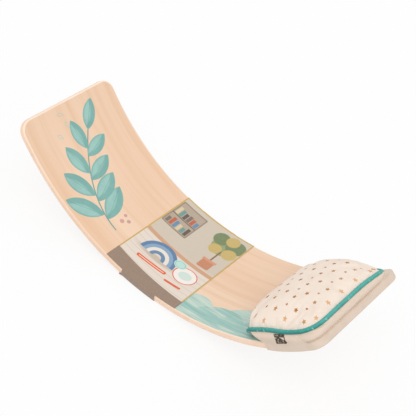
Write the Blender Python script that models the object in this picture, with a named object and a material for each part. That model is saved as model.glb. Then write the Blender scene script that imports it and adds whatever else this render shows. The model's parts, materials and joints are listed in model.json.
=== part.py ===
"""Teeter board: a bent plywood balance board with a slip-on pillow and a folded card sleeve.

Units are metres, +Z is up. The origin is on the floor under the middle of the board, where it
stands on the sleeve's strap. +X runs along the board towards the pillow, +Y runs across it.

The whole board is an arc round one level axis, so every piece is placed by three numbers: its
angle round that axis (0 at the bottom, positive towards the pillow), its Y, and its rise above
the board's hollow top face. The pillow and the sleeve slide round the same axis.
"""

import math

import bmesh
import bpy
from mathutils import Vector

# Bent board
OUTER_RADIUS = 0.570
BOARD_THICKNESS = 0.017
BOARD_WIDTH = 0.300
BOARD_HALF_ANGLE = math.radians(52.0)
CORNER_RADIUS = 0.032
EDGE_ROUND = 0.004
ARC_FACETS = 37
CORNER_FACETS = 6
VENEERS = 9
GLUE_LINE = 0.0001

# Card sleeve
CARD_THICKNESS = 0.0004
CARD_CLEARANCE = 0.0004
CARD_FOLD_RADIUS = 0.0015
CARD_LAP = 0.0005
PANEL_ANGLES = (math.radians(-13.65), math.radians(8.95))
STRAP_ANGLES = (math.radians(-8.0), math.radians(2.7))
FLAP_END = 0.014
LAP_STEP = (0.022, 0.016)
LAP_END = -0.014

# Pillow
PILLOW_ANGLE = math.radians(40.8)
PILLOW_HALF_LENGTH = 0.109
PILLOW_HALF_WIDTH = 0.147
PILLOW_CORNER = 0.040
PILLOW_WAIST = 0.003
SEAM_RISE = 0.027
UNDERSIDE_RISE = 0.001
CROWN = 0.047
CROWN_POWER = 2.6
CROWN_FULLNESS = 0.8
CROWN_SKEW = -0.24
PANEL_CLOTH = 0.0010
CLOTH_GAP = 0.0003
PILLOW_MIDDLE = 1e-6
SIDE_POINTS = 7
CORNER_POINTS = 6
PIPING_RADIUS = 0.0045
PIPING_OFFSET = 0.0050

# Pocket that grips the board's end, sewn into the pillow's seam
POCKET_SEAM_ANGLE = math.radians(32.6)
POCKET_MOUTH_ANGLE = math.radians(37.2)
POCKET_CLEARANCE = 0.0008
POCKET_CLOTH = 0.0012
POCKET_TOP_RISE = 0.0220
POCKET_BULGE = 0.0030

# Woven label
LABEL_ANGLE = math.radians(42.0)
LABEL_WIDTH = 0.028
LABEL_TOP_RISE = 0.0220
LABEL_BOTTOM_RISE = 0.0045
LABEL_CLOTH = 0.0004

INNER_RADIUS = OUTER_RADIUS - BOARD_THICKNESS
HALF_WIDTH = BOARD_WIDTH / 2
CORNER_ANGLE = CORNER_RADIUS / OUTER_RADIUS
STRAIGHT_ANGLE = BOARD_HALF_ANGLE - CORNER_ANGLE
FACET_ANGLE = 2 * STRAIGHT_ANGLE / ARC_FACETS
STANDING_RADIUS = OUTER_RADIUS + CARD_CLEARANCE + CARD_LAP + CARD_THICKNESS
AXIS_HEIGHT = STANDING_RADIUS * math.cos(FACET_ANGLE / 2)
VENEER_THICKNESS = (BOARD_THICKNESS - (VENEERS - 1) * GLUE_LINE) / VENEERS
SEAM_RADIUS = INNER_RADIUS - SEAM_RISE

FACE_GRAIN = (0.87, 0.65, 0.46, 1)
CROSS_GRAIN = (0.80, 0.60, 0.43, 1)
CREAM_CLOTH = (0.88, 0.80, 0.71, 1)
PLAIN_CLOTH = (0.76, 0.66, 0.56, 1)
WHITE_FIBRE = (0.90, 0.90, 0.88, 1)
TEAL_CLOTH = (0.06, 0.33, 0.30, 1)
BROWN_WEAVE = (0.12, 0.09, 0.06, 1)
TAUPE_CARD = (0.29, 0.20, 0.14, 1)


def clear_scene():
    """Removes the objects that a new file holds."""
    for thing in list(bpy.data.objects):
        bpy.data.objects.remove(thing, do_unlink=True)


def finish(name, color, roughness):
    """A plain Principled material."""
    made = bpy.data.materials.new(name)
    made.use_nodes = True
    shader = made.node_tree.nodes["Principled BSDF"]
    shader.inputs["Base Color"].default_value = color
    shader.inputs["Roughness"].default_value = roughness
    made.diffuse_color = color
    return made


def add_object(name, data, material):
    """Puts a mesh or a curve in the scene with its material."""
    piece = bpy.data.objects.new(name, data)
    piece.data.materials.append(material)
    bpy.context.scene.collection.objects.link(piece)
    return piece


def on_arc(angle, y, rise):
    """The point at an angle round the board's axis, a Y, and a rise above the hollow top face."""
    radius = INNER_RADIUS - rise
    return Vector((radius * math.sin(angle), y, AXIS_HEIGHT - radius * math.cos(angle)))


def spaced(low, high, steps):
    """Evenly spaced values from low to high, with both ends."""
    return [low + (high - low) * step / steps for step in range(steps + 1)]


def closed_shell(name, upper, lower, material, ring=False, present=None):
    """One closed body between two sheets of points with the same rows and columns.

    ring joins each row's last column to its first. present(row, column) leaves a cell out when
    it is false, and the sheets' open edges are joined by a rim wherever a cell ends.
    """
    mesh = bmesh.new()
    tops = [[mesh.verts.new(point) for point in row] for row in upper]
    bottoms = [[mesh.verts.new(point) for point in row] for row in lower]
    columns = len(upper[0])
    cells = [
        (row, column, (column + 1) % columns)
        for row in range(len(upper) - 1)
        for column in range(columns if ring else columns - 1)
        if present is None or present(row, column)
    ]
    walked = {}
    for row, column, following in cells:
        corners = [(row, column), (row, following), (row + 1, following), (row + 1, column)]
        mesh.faces.new([tops[i][j] for i, j in corners])
        mesh.faces.new([bottoms[i][j] for i, j in reversed(corners)])
        for start, end in zip(corners, corners[1:] + corners[:1]):
            walked[start, end] = True
    for start, end in walked:
        if (end, start) not in walked:
            (a, b), (c, d) = start, end
            mesh.faces.new([tops[c][d], tops[a][b], bottoms[a][b], bottoms[c][d]])
    bmesh.ops.remove_doubles(mesh, verts=mesh.verts, dist=1e-6)
    bmesh.ops.delete(mesh, geom=[v for v in mesh.verts if not v.link_faces], context="VERTS")
    bmesh.ops.recalc_face_normals(mesh, faces=mesh.faces)
    data = bpy.data.meshes.new(name)
    mesh.to_mesh(data)
    mesh.free()
    data.shade_smooth()
    data.set_sharp_from_angle(angle=math.radians(30))
    return add_object(name, data, material)


def edge_inset(depth):
    """How far the rounded-over edge stands inside the board's outline, at a depth from the top."""
    from_face = max(0.0, min(depth, BOARD_THICKNESS - depth))
    if from_face >= EDGE_ROUND:
        return 0.0
    return EDGE_ROUND - math.sqrt(EDGE_ROUND**2 - (EDGE_ROUND - from_face) ** 2)


def board_end_stations(offset):
    """(angle, half width) down one end's corners, for the board's outline moved out by an offset."""
    stations = []
    for turn in spaced(0, math.pi / 2, CORNER_FACETS):
        along = (CORNER_RADIUS + offset) * math.sin(turn)
        across = (CORNER_RADIUS + offset) * math.cos(turn)
        angle = STRAIGHT_ANGLE + along / OUTER_RADIUS
        stations.append((angle, HALF_WIDTH - CORNER_RADIUS + across))
    return stations


def board_stations(offset):
    """(angle, half width) along the whole board, from the free end to the pillow's end."""
    right = board_end_stations(offset)
    left = [(-angle, half_width) for angle, half_width in reversed(right)]
    middle = spaced(-STRAIGHT_ANGLE, STRAIGHT_ANGLE, ARC_FACETS)[1:-1]
    return left + [(angle, HALF_WIDTH + offset) for angle in middle] + right


def veneer_sheet(depth):
    """The points of the board's outline at a depth below its top face, two to a station."""
    stations = board_stations(-edge_inset(depth))
    return [[on_arc(angle, side * half, -depth) for side in (-1, 1)] for angle, half in stations]


def build_veneers(face_grain, cross_grain):
    """The glued-up stack: the top face, then veneers with their grain turned by turns."""
    for index in range(VENEERS):
        top = index * (VENEER_THICKNESS + GLUE_LINE)
        along = index % 2 == 0
        ending = {0: "top_face", VENEERS - 1: "bottom_face"}.get(index, "long" if along else "cross")
        name = f"veneer_{index + 1}_{ending}"
        sheets = veneer_sheet(top), veneer_sheet(top + VENEER_THICKNESS)
        closed_shell(name, *sheets, face_grain if along else cross_grain)


def fold(side, centre_rise, grow, start, end):
    """(y, rise) round one fold of the card, at a side of the board and two angles from level."""
    centre_y = HALF_WIDTH + CARD_CLEARANCE - CARD_FOLD_RADIUS
    radius = CARD_FOLD_RADIUS + grow
    turns = [math.radians(angle) for angle in spaced(start, end, 3)]
    return [(side * (centre_y + radius * math.cos(t)), centre_rise + radius * math.sin(t)) for t in turns]


def sleeve_section(grow):
    """(y, rise) round the board, from the glue flap beneath it to the lap that covers the flap.

    grow is 0 on the card's face towards the wood, and the card's thickness on its outside.
    """
    high = CARD_CLEARANCE - CARD_FOLD_RADIUS
    low = CARD_FOLD_RADIUS - CARD_CLEARANCE - BOARD_THICKNESS
    under = low - CARD_FOLD_RADIUS - grow
    section = [(FLAP_END, under), (0.0, under), (-HALF_WIDTH / 2, under)]
    section += fold(-1, low, grow, -90, 0)
    section += fold(-1, high, grow, 0, 90)
    section += fold(1, high, grow, 90, 0)
    section += fold(1, low, grow, 0, -90)
    section += [(LAP_STEP[0], under), (LAP_STEP[1], under - CARD_LAP), (LAP_END, under - CARD_LAP)]
    return section


def build_sleeve(material):
    """One card blank: a wide top panel whose two narrower straps fold under and overlap."""
    low, high = PANEL_ANGLES
    facet_lines = spaced(-STRAIGHT_ANGLE, STRAIGHT_ANGLE, ARC_FACETS)
    angles = sorted([low, *STRAP_ANGLES, high, *(line for line in facet_lines if low < line < high)])
    section = sleeve_section(0)
    heights = [rise for _, rise in section]
    top = max(range(len(section) - 1), key=lambda i: heights[i] + heights[i + 1])

    def present(row, column):
        middle = (angles[row] + angles[row + 1]) / 2
        return column == top or STRAP_ANGLES[0] < middle < STRAP_ANGLES[1]

    inside = [[on_arc(angle, y, rise) for y, rise in section] for angle in angles]
    outside = [[on_arc(angle, y, rise) for y, rise in sleeve_section(CARD_THICKNESS)] for angle in angles]
    closed_shell("printed_card_sleeve", outside, inside, material, present=present)


def rounded_rectangle(half_length, half_width, corner):
    """(along, y) round a rectangle with round corners, from the middle of its pillow-end side."""
    centres = ((1, 1), (-1, 1), (-1, -1), (1, -1))
    corners = []
    for quarter, (along_sign, y_sign) in enumerate(centres):
        centre = (along_sign * (half_length - corner), y_sign * (half_width - corner))
        turns = spaced(quarter * math.pi / 2, (quarter + 1) * math.pi / 2, CORNER_POINTS)
        arc = [(centre[0] + corner * math.cos(t), centre[1] + corner * math.sin(t)) for t in turns]
        corners.append(arc)
    outline = []
    for arc, following in zip(corners, corners[1:] + corners[:1]):
        (x0, y0), (x1, y1) = arc[-1], following[0]
        shares = spaced(0, 1, SIDE_POINTS)[1:-1]
        outline += arc + [(x0 + (x1 - x0) * share, y0 + (y1 - y0) * share) for share in shares]
    return outline


def waisted(along, y, half_length, half_width, waist):
    """(angle, y) of a point in the pillow's outline, its sides pulled in between the corners."""
    pull_y = waist * (1 - (along / half_length) ** 2) * y / half_width
    pull_along = waist * (1 - (y / half_width) ** 2) * along / half_length
    return PILLOW_ANGLE + (along - pull_along) / SEAM_RADIUS, y - pull_y


def pillow_ring(grow, share, rise, slope=0.0):
    """One closed row of points round the pillow at a rise.

    grow moves the seam line out and share draws it in towards the middle, where it gets rounder.
    slope is how much the row climbs to each metre towards the board's end.
    """
    half_length = (PILLOW_HALF_LENGTH + grow) * share
    half_width = (PILLOW_HALF_WIDTH + grow) * share
    corner = (PILLOW_CORNER + grow) * share
    corner += (half_length - corner) * (1 - share)
    outline = rounded_rectangle(half_length, half_width, corner)
    ring = []
    for along, y in outline:
        angle, pulled_y = waisted(along, y, half_length, half_width, PILLOW_WAIST * share)
        ring.append(on_arc(angle, pulled_y, rise + slope * along))
    return ring


def crown_sheet(inset, base_rise):
    """The crowned face of the pillow, from the seam to the middle, moved in by an inset.

    It is fuller on the inner side, where a child's head lies, than at the board's end.
    """
    rings = []
    for share in (1.0, 0.985, 0.95, 0.88, 0.77, 0.62, 0.42, 0.2, PILLOW_MIDDLE):
        dome = (1 - share**CROWN_POWER) ** CROWN_FULLNESS
        slope = CROWN * CROWN_SKEW * dome / PILLOW_HALF_LENGTH
        rings.append(pillow_ring(-inset, share, base_rise + (CROWN - inset) * dome, slope))
    return rings


def dish_sheet(inset, base_rise):
    """The underside of the pillow, from the seam down and under to the floor that lies on the wood."""
    curl = ((-0.0025, 0.0190), (-0.0075, 0.0110), (-0.0150, 0.0050), (-0.0260, UNDERSIDE_RISE))
    lowest = UNDERSIDE_RISE + inset
    rings = [pillow_ring(-inset, 1.0, base_rise)]
    rings += [pillow_ring(grow - inset, 1.0, max(rise + inset / 2, lowest)) for grow, rise in curl]
    floor = curl[-1][0] - inset
    return rings + [pillow_ring(floor, share, lowest) for share in (0.75, 0.5, 0.25, PILLOW_MIDDLE)]


def build_pillow(top_cloth, plain_cloth, fibre, teal_cloth):
    """Two sewn panels, the filling between them and the piping in their seam."""
    above = SEAM_RISE + CLOTH_GAP
    below = SEAM_RISE - CLOTH_GAP
    inside = PANEL_CLOTH + CLOTH_GAP
    crown = crown_sheet(0.0, above), crown_sheet(PANEL_CLOTH, above)
    closed_shell("pillow_top_panel", *crown, top_cloth, ring=True)
    dish = dish_sheet(0.0, below), dish_sheet(PANEL_CLOTH, below)
    closed_shell("pillow_underside_panel", *dish, plain_cloth, ring=True)
    filling = crown_sheet(inside, above), dish_sheet(inside, below)
    closed_shell("pillow_filling", *filling, fibre, ring=True)
    build_piping(teal_cloth)


def build_piping(material):
    """A covered cord sewn into the seam all round, as one closed bevelled curve."""
    path = pillow_ring(PIPING_OFFSET, 1.0, SEAM_RISE)
    curve = bpy.data.curves.new("pillow_piping", "CURVE")
    curve.dimensions = "3D"
    curve.bevel_depth = PIPING_RADIUS
    curve.bevel_resolution = 2
    spline = curve.splines.new("POLY")
    spline.points.add(len(path) - 1)
    for place, point in zip(spline.points, path):
        place.co = (*point, 1)
    spline.use_cyclic_u = True
    add_object("pillow_piping", curve, material)


def end_path(straight_angle, half_width, corner, radius, mouth_angle):
    """(angle, y) from a mouth along one side of an outline, round its end and back to the mouth."""
    near = [(angle, -half_width) for angle in spaced(mouth_angle, straight_angle, 5)[:-1]]
    for turn in spaced(0, math.pi / 2, CORNER_FACETS):
        angle = straight_angle + corner * math.sin(turn) / radius
        near.append((angle, corner - half_width - corner * math.cos(turn)))
    across = half_width - corner
    end = [(near[-1][0], y) for y in spaced(-across, across, 6)[1:-1]]
    return near + end + [(angle, -y) for angle, y in reversed(near)]


def board_rim(offset, mouth_angle):
    """(angle, y) round the board's end, moved out by an offset."""
    return end_path(STRAIGHT_ANGLE, HALF_WIDTH + offset, CORNER_RADIUS + offset, OUTER_RADIUS, mouth_angle)


def seam_rim(offset, mouth_angle):
    """(angle, y) along the pillow's seam round the same end, moved out by an offset."""
    half_length = PILLOW_HALF_LENGTH + offset
    half_width = PILLOW_HALF_WIDTH + offset
    straight = PILLOW_ANGLE + (PILLOW_HALF_LENGTH - PILLOW_CORNER) / SEAM_RADIUS
    rim = end_path(straight, half_width, PILLOW_CORNER + offset, SEAM_RADIUS, mouth_angle)
    alongs = [(angle - PILLOW_ANGLE) * SEAM_RADIUS for angle, _ in rim]
    return [waisted(along, y, half_length, half_width, PILLOW_WAIST) for along, (_, y) in zip(alongs, rim)]


def pocket_sheet(grow):
    """The pocket's cloth from the seam down, round the board's lower edge and under the board."""
    reach = POCKET_CLEARANCE + grow
    sheet = []
    for share in spaced(0, 1, 4):
        bulge = POCKET_BULGE * math.sin(math.pi * share)
        mouth = POCKET_SEAM_ANGLE + share * (POCKET_MOUTH_ANGLE - POCKET_SEAM_ANGLE)
        seam = seam_rim(2 * CLOTH_GAP + grow + bulge, mouth)
        board = board_rim(reach + bulge, mouth)
        mixed = [(a + share * (c - a), b + share * (d - b)) for (a, b), (c, d) in zip(seam, board)]
        sheet.append([on_arc(angle, y, POCKET_TOP_RISE * (1 - share)) for angle, y in mixed])
    lower_edge = EDGE_ROUND - BOARD_THICKNESS
    for turn in spaced(0, math.pi / 2, 3):
        out = reach - (EDGE_ROUND + reach) * (1 - math.cos(turn))
        under = lower_edge - (EDGE_ROUND + reach) * math.sin(turn)
        rim = board_rim(out, POCKET_MOUTH_ANGLE)
        sheet.append([on_arc(angle, y, under) for angle, y in rim])
    for share in (0.8, 0.6, 0.4, 0.2, 0.0):
        row = []
        for angle, y in rim:
            drawn_angle = POCKET_MOUTH_ANGLE + share * (angle - POCKET_MOUTH_ANGLE)
            row.append(on_arc(drawn_angle, share * y, under))
        sheet.append(row)
    return sheet


def build_pocket(material):
    """The plain cloth pocket that the board's end slips into."""
    closed_shell("pillow_pocket", pocket_sheet(POCKET_CLOTH), pocket_sheet(0.0), material)


def label_loop(radius):
    """(out, rise) down the label's back layer, round its fold and up its front layer."""
    rises = spaced(LABEL_TOP_RISE, LABEL_BOTTOM_RISE + LABEL_CLOTH + CLOTH_GAP / 2, 3)
    back = [(-radius, rise) for rise in rises]
    turns = spaced(0, math.pi, 6)[1:-1]
    bend = [(-radius * math.cos(turn), rises[-1] - radius * math.sin(turn)) for turn in turns]
    return back + bend + [(-out, rise) for out, rise in reversed(back)]


def build_label(material):
    """A blank woven label, folded double, that hangs from the seam over the pocket's side."""
    half_angle = LABEL_WIDTH / 2 / SEAM_RADIUS
    angles = spaced(LABEL_ANGLE - half_angle, LABEL_ANGLE + half_angle, 2)
    inner, outer = CLOTH_GAP / 2, CLOTH_GAP / 2 + LABEL_CLOTH
    pocket_wall = HALF_WIDTH + POCKET_CLEARANCE + POCKET_CLOTH + POCKET_BULGE / 3
    middle = pocket_wall + CLOTH_GAP + outer
    sheets = [
        [[on_arc(angle, -middle - out, rise) for out, rise in label_loop(radius)] for angle in angles]
        for radius in (outer, inner)
    ]
    closed_shell("woven_label", *sheets, material)


def main():
    clear_scene()
    face_grain = finish("face_grain_wood", FACE_GRAIN, 0.45)
    cross_grain = finish("cross_grain_wood", CROSS_GRAIN, 0.6)
    build_veneers(face_grain, cross_grain)
    build_sleeve(finish("printed_card", TAUPE_CARD, 0.5))
    plain_cloth = finish("plain_cream_cloth", PLAIN_CLOTH, 0.9)
    top_cloth = finish("starred_cream_cloth", CREAM_CLOTH, 0.85)
    fibre = finish("white_fibre", WHITE_FIBRE, 1.0)
    build_pillow(top_cloth, plain_cloth, fibre, finish("teal_cloth", TEAL_CLOTH, 0.8))
    build_pocket(plain_cloth)
    build_label(finish("brown_weave", BROWN_WEAVE, 0.9))


main()
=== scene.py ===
"""Looks of the teeter board: fine meshes and finishes, dressed round its fixed frame.

Everything is in metres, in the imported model's own frame: +X along the board towards the pillow,
+Y across it, +Z up. The board is an arc round one level axis, so a place on it is an angle round
that axis, a Y, and a rise above the board's hollow top face.
"""

import json
import logging
import math
from collections.abc import Callable, Iterable, Sequence
from dataclasses import dataclass, field
from enum import Enum
from typing import Any

import bmesh
import bpy
import numpy as np
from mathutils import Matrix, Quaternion, Vector, noise


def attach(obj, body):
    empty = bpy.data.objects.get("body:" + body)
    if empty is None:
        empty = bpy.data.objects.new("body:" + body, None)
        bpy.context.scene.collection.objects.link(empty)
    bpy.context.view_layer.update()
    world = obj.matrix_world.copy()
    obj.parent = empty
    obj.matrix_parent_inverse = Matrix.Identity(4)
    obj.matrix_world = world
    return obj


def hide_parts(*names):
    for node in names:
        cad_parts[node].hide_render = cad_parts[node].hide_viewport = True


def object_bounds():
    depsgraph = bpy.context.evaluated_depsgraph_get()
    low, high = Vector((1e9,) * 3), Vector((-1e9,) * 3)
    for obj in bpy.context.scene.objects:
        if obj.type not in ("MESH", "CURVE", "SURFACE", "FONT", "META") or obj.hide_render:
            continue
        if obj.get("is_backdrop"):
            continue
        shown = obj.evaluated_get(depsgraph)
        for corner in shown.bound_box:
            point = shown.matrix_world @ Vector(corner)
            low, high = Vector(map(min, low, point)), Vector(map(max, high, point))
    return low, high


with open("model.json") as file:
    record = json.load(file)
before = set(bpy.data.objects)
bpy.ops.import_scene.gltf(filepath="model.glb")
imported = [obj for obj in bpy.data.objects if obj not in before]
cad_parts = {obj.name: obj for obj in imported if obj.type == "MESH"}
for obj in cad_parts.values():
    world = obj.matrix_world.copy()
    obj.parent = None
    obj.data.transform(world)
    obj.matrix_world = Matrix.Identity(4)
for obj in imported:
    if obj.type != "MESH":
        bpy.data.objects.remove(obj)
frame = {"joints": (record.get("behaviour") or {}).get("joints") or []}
CAD_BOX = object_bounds()

log = logging.getLogger("teeter_board")

Color = tuple[float, float, float, float]
Spot = tuple[float, float]
Station = tuple[float, float, float]
Piece = bpy.types.Object


def srgb(red: float, green: float, blue: float) -> Color:
    """A linear colour from the 0 to 255 values that a screen shows.

    Args:
        red: Red from 0 to 255.
        green: Green from 0 to 255.
        blue: Blue from 0 to 255.

    Returns:
        The linear red, green, blue and an alpha of 1.
    """
    linear = []
    for value in (red, green, blue):
        share = value / 255
        linear.append(share / 12.92 if share <= 0.04045 else ((share + 0.055) / 1.055) ** 2.4)
    return (*linear, 1.0)


def spaced(low: float, high: float, steps: int) -> list[float]:
    """Evenly spaced values from low to high, with both ends.

    Args:
        low: The first value.
        high: The last value.
        steps: How many steps lie between them.

    Returns:
        The steps + 1 values.
    """
    return [low + (high - low) * step / steps for step in range(steps + 1)]


@dataclass(frozen=True)
class Arc:
    """The circular arc that the board, the sleeve and the pillow all follow."""

    axis_height: float
    outer_radius: float = 0.570
    thickness: float = 0.017
    half_width: float = 0.150
    half_angle: float = math.radians(52.0)
    corner: float = 0.032
    edge_round: float = 0.004

    @property
    def inner_radius(self) -> float:
        """The radius of the hollow top face."""
        return self.outer_radius - self.thickness

    @property
    def straight_angle(self) -> float:
        """The angle at which the end's round corners begin."""
        return self.half_angle - self.corner / self.outer_radius

    def place(self, angle: float, y: float, rise: float) -> Vector:
        """The point at an angle round the axis, a Y, and a rise above the hollow top face."""
        radius = self.inner_radius - rise
        return Vector((radius * math.sin(angle), y, self.axis_height - radius * math.cos(angle)))


ARC = Arc(axis_height=frame["joints"][0]["pos_m"][2])


class Wire:
    """A value in a node tree, which takes part in plain arithmetic."""

    def __init__(self, graph: "Graph", socket: bpy.types.NodeSocket) -> None:
        """Holds the socket that gives the value."""
        self.graph = graph
        self.socket = socket

    def __add__(self, other: "Wire | float") -> "Wire":
        """The sum of the two values."""
        return self.graph.math("ADD", self, other)

    def __sub__(self, other: "Wire | float") -> "Wire":
        """This value less the other."""
        return self.graph.math("SUBTRACT", self, other)

    def __rsub__(self, other: float) -> "Wire":
        """The other value less this one."""
        return self.graph.math("SUBTRACT", other, self)

    def __mul__(self, other: "Wire | float") -> "Wire":
        """The product of the two values."""
        return self.graph.math("MULTIPLY", self, other)

    def __truediv__(self, other: "Wire | float") -> "Wire":
        """This value over the other."""
        return self.graph.math("DIVIDE", self, other)

    __radd__ = __add__
    __rmul__ = __mul__


class Graph:
    """A node tree that is written as plain expressions."""

    def __init__(self, tree: bpy.types.NodeTree) -> None:
        """Holds the tree that the nodes go into."""
        self.tree = tree

    def put(self, socket: bpy.types.NodeSocket, value: Any) -> None:
        """Links a wire to a socket, or sets the socket's own value."""
        if isinstance(value, Wire):
            self.tree.links.new(value.socket, socket)
        else:
            socket.default_value = value

    def node(self, kind: str, inputs: dict[Any, Any] | None = None, **settings: Any) -> bpy.types.Node:
        """Adds one node.

        Args:
            kind: The node's type.
            inputs: Values or wires by the name or index of the input socket.
            **settings: The node's own properties.

        Returns:
            The node.
        """
        made = self.tree.nodes.new(kind)
        for name, value in settings.items():
            setattr(made, name, value)
        for key, value in (inputs or {}).items():
            self.put(made.inputs[key], value)
        return made

    def wire(self, kind: str, inputs: dict[Any, Any] | None = None, output: Any = 0, **settings: Any) -> Wire:
        """Adds one node and gives the wire from one of its outputs."""
        return Wire(self, self.node(kind, inputs, **settings).outputs[output])

    def math(self, operation: str, *values: Any) -> Wire:
        """The result of one arithmetic operation."""
        return self.wire("ShaderNodeMath", dict(enumerate(values)), operation=operation)

    def clamp(self, value: Wire, low: float, high: float) -> Wire:
        """The value, kept between low and high."""
        return self.math("MINIMUM", self.math("MAXIMUM", value, low), high)

    def ramp(self, value: Wire, start: float, end: float, low: float = 0.0, high: float = 1.0) -> Wire:
        """A smooth climb from low to high while the value goes from start to end.

        Args:
            value: What drives the climb.
            start: The value at which the result is low.
            end: The value at which the result is high, on either side of start.
            low: The result at start and before it.
            high: The result at end and past it.

        Returns:
            The wire of the result.
        """
        inputs = {"Value": value, "From Min": start, "From Max": end, "To Min": low, "To Max": high}
        return self.wire("ShaderNodeMapRange", inputs, interpolation_type="SMOOTHSTEP")

    def vector(self, x: Any, y: Any, z: Any = 0.0) -> Wire:
        """A vector from three values."""
        return self.wire("ShaderNodeCombineXYZ", {0: x, 1: y, 2: z})

    def parts(self, vector: Wire) -> tuple[Wire, Wire, Wire]:
        """The three values of a vector."""
        split = self.node("ShaderNodeSeparateXYZ", {0: vector})
        return Wire(self, split.outputs[0]), Wire(self, split.outputs[1]), Wire(self, split.outputs[2])

    def vector_math(self, operation: str, *values: Any) -> Wire:
        """The vector that one operation on vectors gives."""
        return self.wire("ShaderNodeVectorMath", dict(enumerate(values)), operation=operation)

    def length(self, vector: Wire) -> Wire:
        """The length of a vector."""
        return self.wire("ShaderNodeVectorMath", {0: vector}, output="Value", operation="LENGTH")

    def noise(self, place: Any, scale: float, detail: float = 2.0, roughness: float = 0.5) -> Wire:
        """Soft noise from 0 to 1 at a place, which is a vector or its two or three values."""
        vector = place if isinstance(place, Wire) else self.vector(*place)
        inputs = {"Vector": vector, "Scale": scale, "Detail": detail, "Roughness": roughness}
        return self.wire("ShaderNodeTexNoise", inputs)

    def store(self, geometry: Wire, name: str, value: Any, where: Wire | None = None) -> Wire:
        """Keeps a number on the points of a geometry, or on those that where picks."""
        inputs = {"Geometry": geometry, "Name": name, "Value": value}
        if where is not None:
            inputs["Selection"] = where
        return self.wire("GeometryNodeStoreNamedAttribute", inputs, data_type="FLOAT", domain="POINT")

    def blend(self, factor: Any, first: Any, second: Any) -> Wire:
        """A colour between two colours."""
        return self.wire("ShaderNodeMix", {0: factor, 6: first, 7: second}, output=2, data_type="RGBA")

    def tint(self, color: Any, ink: Any, driver: Wire, start: float, end: float, most: float = 1.0) -> Wire:
        """A colour that turns to the ink, by most at most, while the driver goes from start to end."""
        return self.blend(self.ramp(driver, start, end, 0.0, most), color, ink)


class Shader(Graph):
    """A material's node tree round one Principled shader."""

    def __init__(self, name: str) -> None:
        """Makes the material and finds its shader."""
        self.material = bpy.data.materials.new(name)
        self.material.use_nodes = True
        super().__init__(self.material.node_tree)
        self.principled = self.tree.nodes["Principled BSDF"]

    def set(self, **values: Any) -> None:
        """Sets the shader's sockets, with the spaces in their names as underscores."""
        for name, value in values.items():
            self.put(self.principled.inputs[name.replace("_", " ")], value)

    def object_place(self) -> tuple[Wire, Wire, Wire]:
        """The point's X, Y and Z in the frame of the model."""
        return self.parts(self.wire("ShaderNodeTexCoord", output="Object"))

    def arc_place(self) -> tuple[Wire, Wire, Wire]:
        """The point's length along the board's top face, its Y, and its depth below that face."""
        x, y, z = self.object_place()
        down = ARC.axis_height - z
        angle = self.math("ARCTAN2", x, down)
        radius = self.math("SQRT", x * x + down * down)
        return angle * ARC.inner_radius, y, radius - ARC.inner_radius

    def flat_place(self) -> tuple[Wire, Wire]:
        """The point's place on the flat pattern piece, in metres, from its UV map."""
        across, along, _ = self.parts(self.wire("ShaderNodeUVMap", uv_map=FLAT_MAP))
        return across, along

    def bump(self, height: Wire, distance: float, strength: float = 1.0, under: Wire | None = None) -> Wire:
        """A normal that follows a height from 0 to 1, with 1 as high as distance."""
        inputs = {"Height": height, "Distance": distance, "Strength": strength}
        if under is not None:
            inputs["Normal"] = under
        return self.wire("ShaderNodeBump", inputs)


FLAT_MAP = "flat"
UPWARD = "upward"


class Shape(Enum):
    """The outlines that a printed patch can have."""

    ELLIPSE = "ellipse"
    BAR = "bar"
    LEAF = "leaf"
    ARCH = "arch"


@dataclass(frozen=True)
class Patch:
    """One printed shape, placed by its centre, half sizes and turn on the flat artwork."""

    shape: Shape
    centre: Spot
    half: Spot
    color: Color
    turn: float = 0.0
    corner: float = 0.0
    line: float = 0.0
    soft: float = 0.0003

    def mask(self, graph: Graph, place: Wire) -> Wire:
        """How much of this patch's ink lies at a place, from 0 to 1.

        Args:
            graph: The tree to write in.
            place: The vector of the place along and across the artwork.

        Returns:
            The wire of the mask.
        """
        distance = self.distance(graph, place)
        if self.line:
            distance = graph.math("ABSOLUTE", distance) - self.line / 2
        return graph.ramp(distance, self.soft, -self.soft)

    def distance(self, graph: Graph, place: Wire) -> Wire:
        """How far a place lies outside the shape, and less than nothing inside it."""
        inputs = {"Vector": place, "Location": (*self.centre, 0.0), "Rotation": (0.0, 0.0, self.turn)}
        local = graph.wire("ShaderNodeMapping", inputs, vector_type="TEXTURE")
        return getattr(self, f"_{self.shape.value}")(graph, local)

    def _ellipse(self, graph: Graph, local: Wire) -> Wire:
        """Distance outside an ellipse."""
        scaled = graph.vector_math("DIVIDE", local, (*self.half, 1.0))
        return (graph.length(scaled) - 1.0) * min(self.half)

    def _bar(self, graph: Graph, local: Wire) -> Wire:
        """Distance outside a rectangle with round corners."""
        corner = max(self.corner, self.soft)
        straight = (max(0.0, self.half[0] - corner), max(0.0, self.half[1] - corner), 0.0)
        beyond = graph.vector_math("SUBTRACT", graph.vector_math("ABSOLUTE", local), straight)
        return graph.length(graph.vector_math("MAXIMUM", beyond, (0.0, 0.0, 0.0))) - corner

    def _leaf(self, graph: Graph, local: Wire) -> Wire:
        """Distance outside a leaf, which is where two equal circles overlap."""
        length, width = self.half
        radius = (length * length + width * width) / (2 * width)
        moved = graph.vector_math("ADD", graph.vector_math("ABSOLUTE", local), (0.0, radius - width, 0.0))
        return graph.length(moved) - radius

    def _arch(self, graph: Graph, local: Wire) -> Wire:
        """Distance outside half a ring that stands on its two feet."""
        radius, half_band = self.half
        reach = graph.math("ABSOLUTE", graph.length(local) - radius) - half_band
        return graph.math("MAXIMUM", reach, 0.0 - graph.parts(local)[1])


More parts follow.
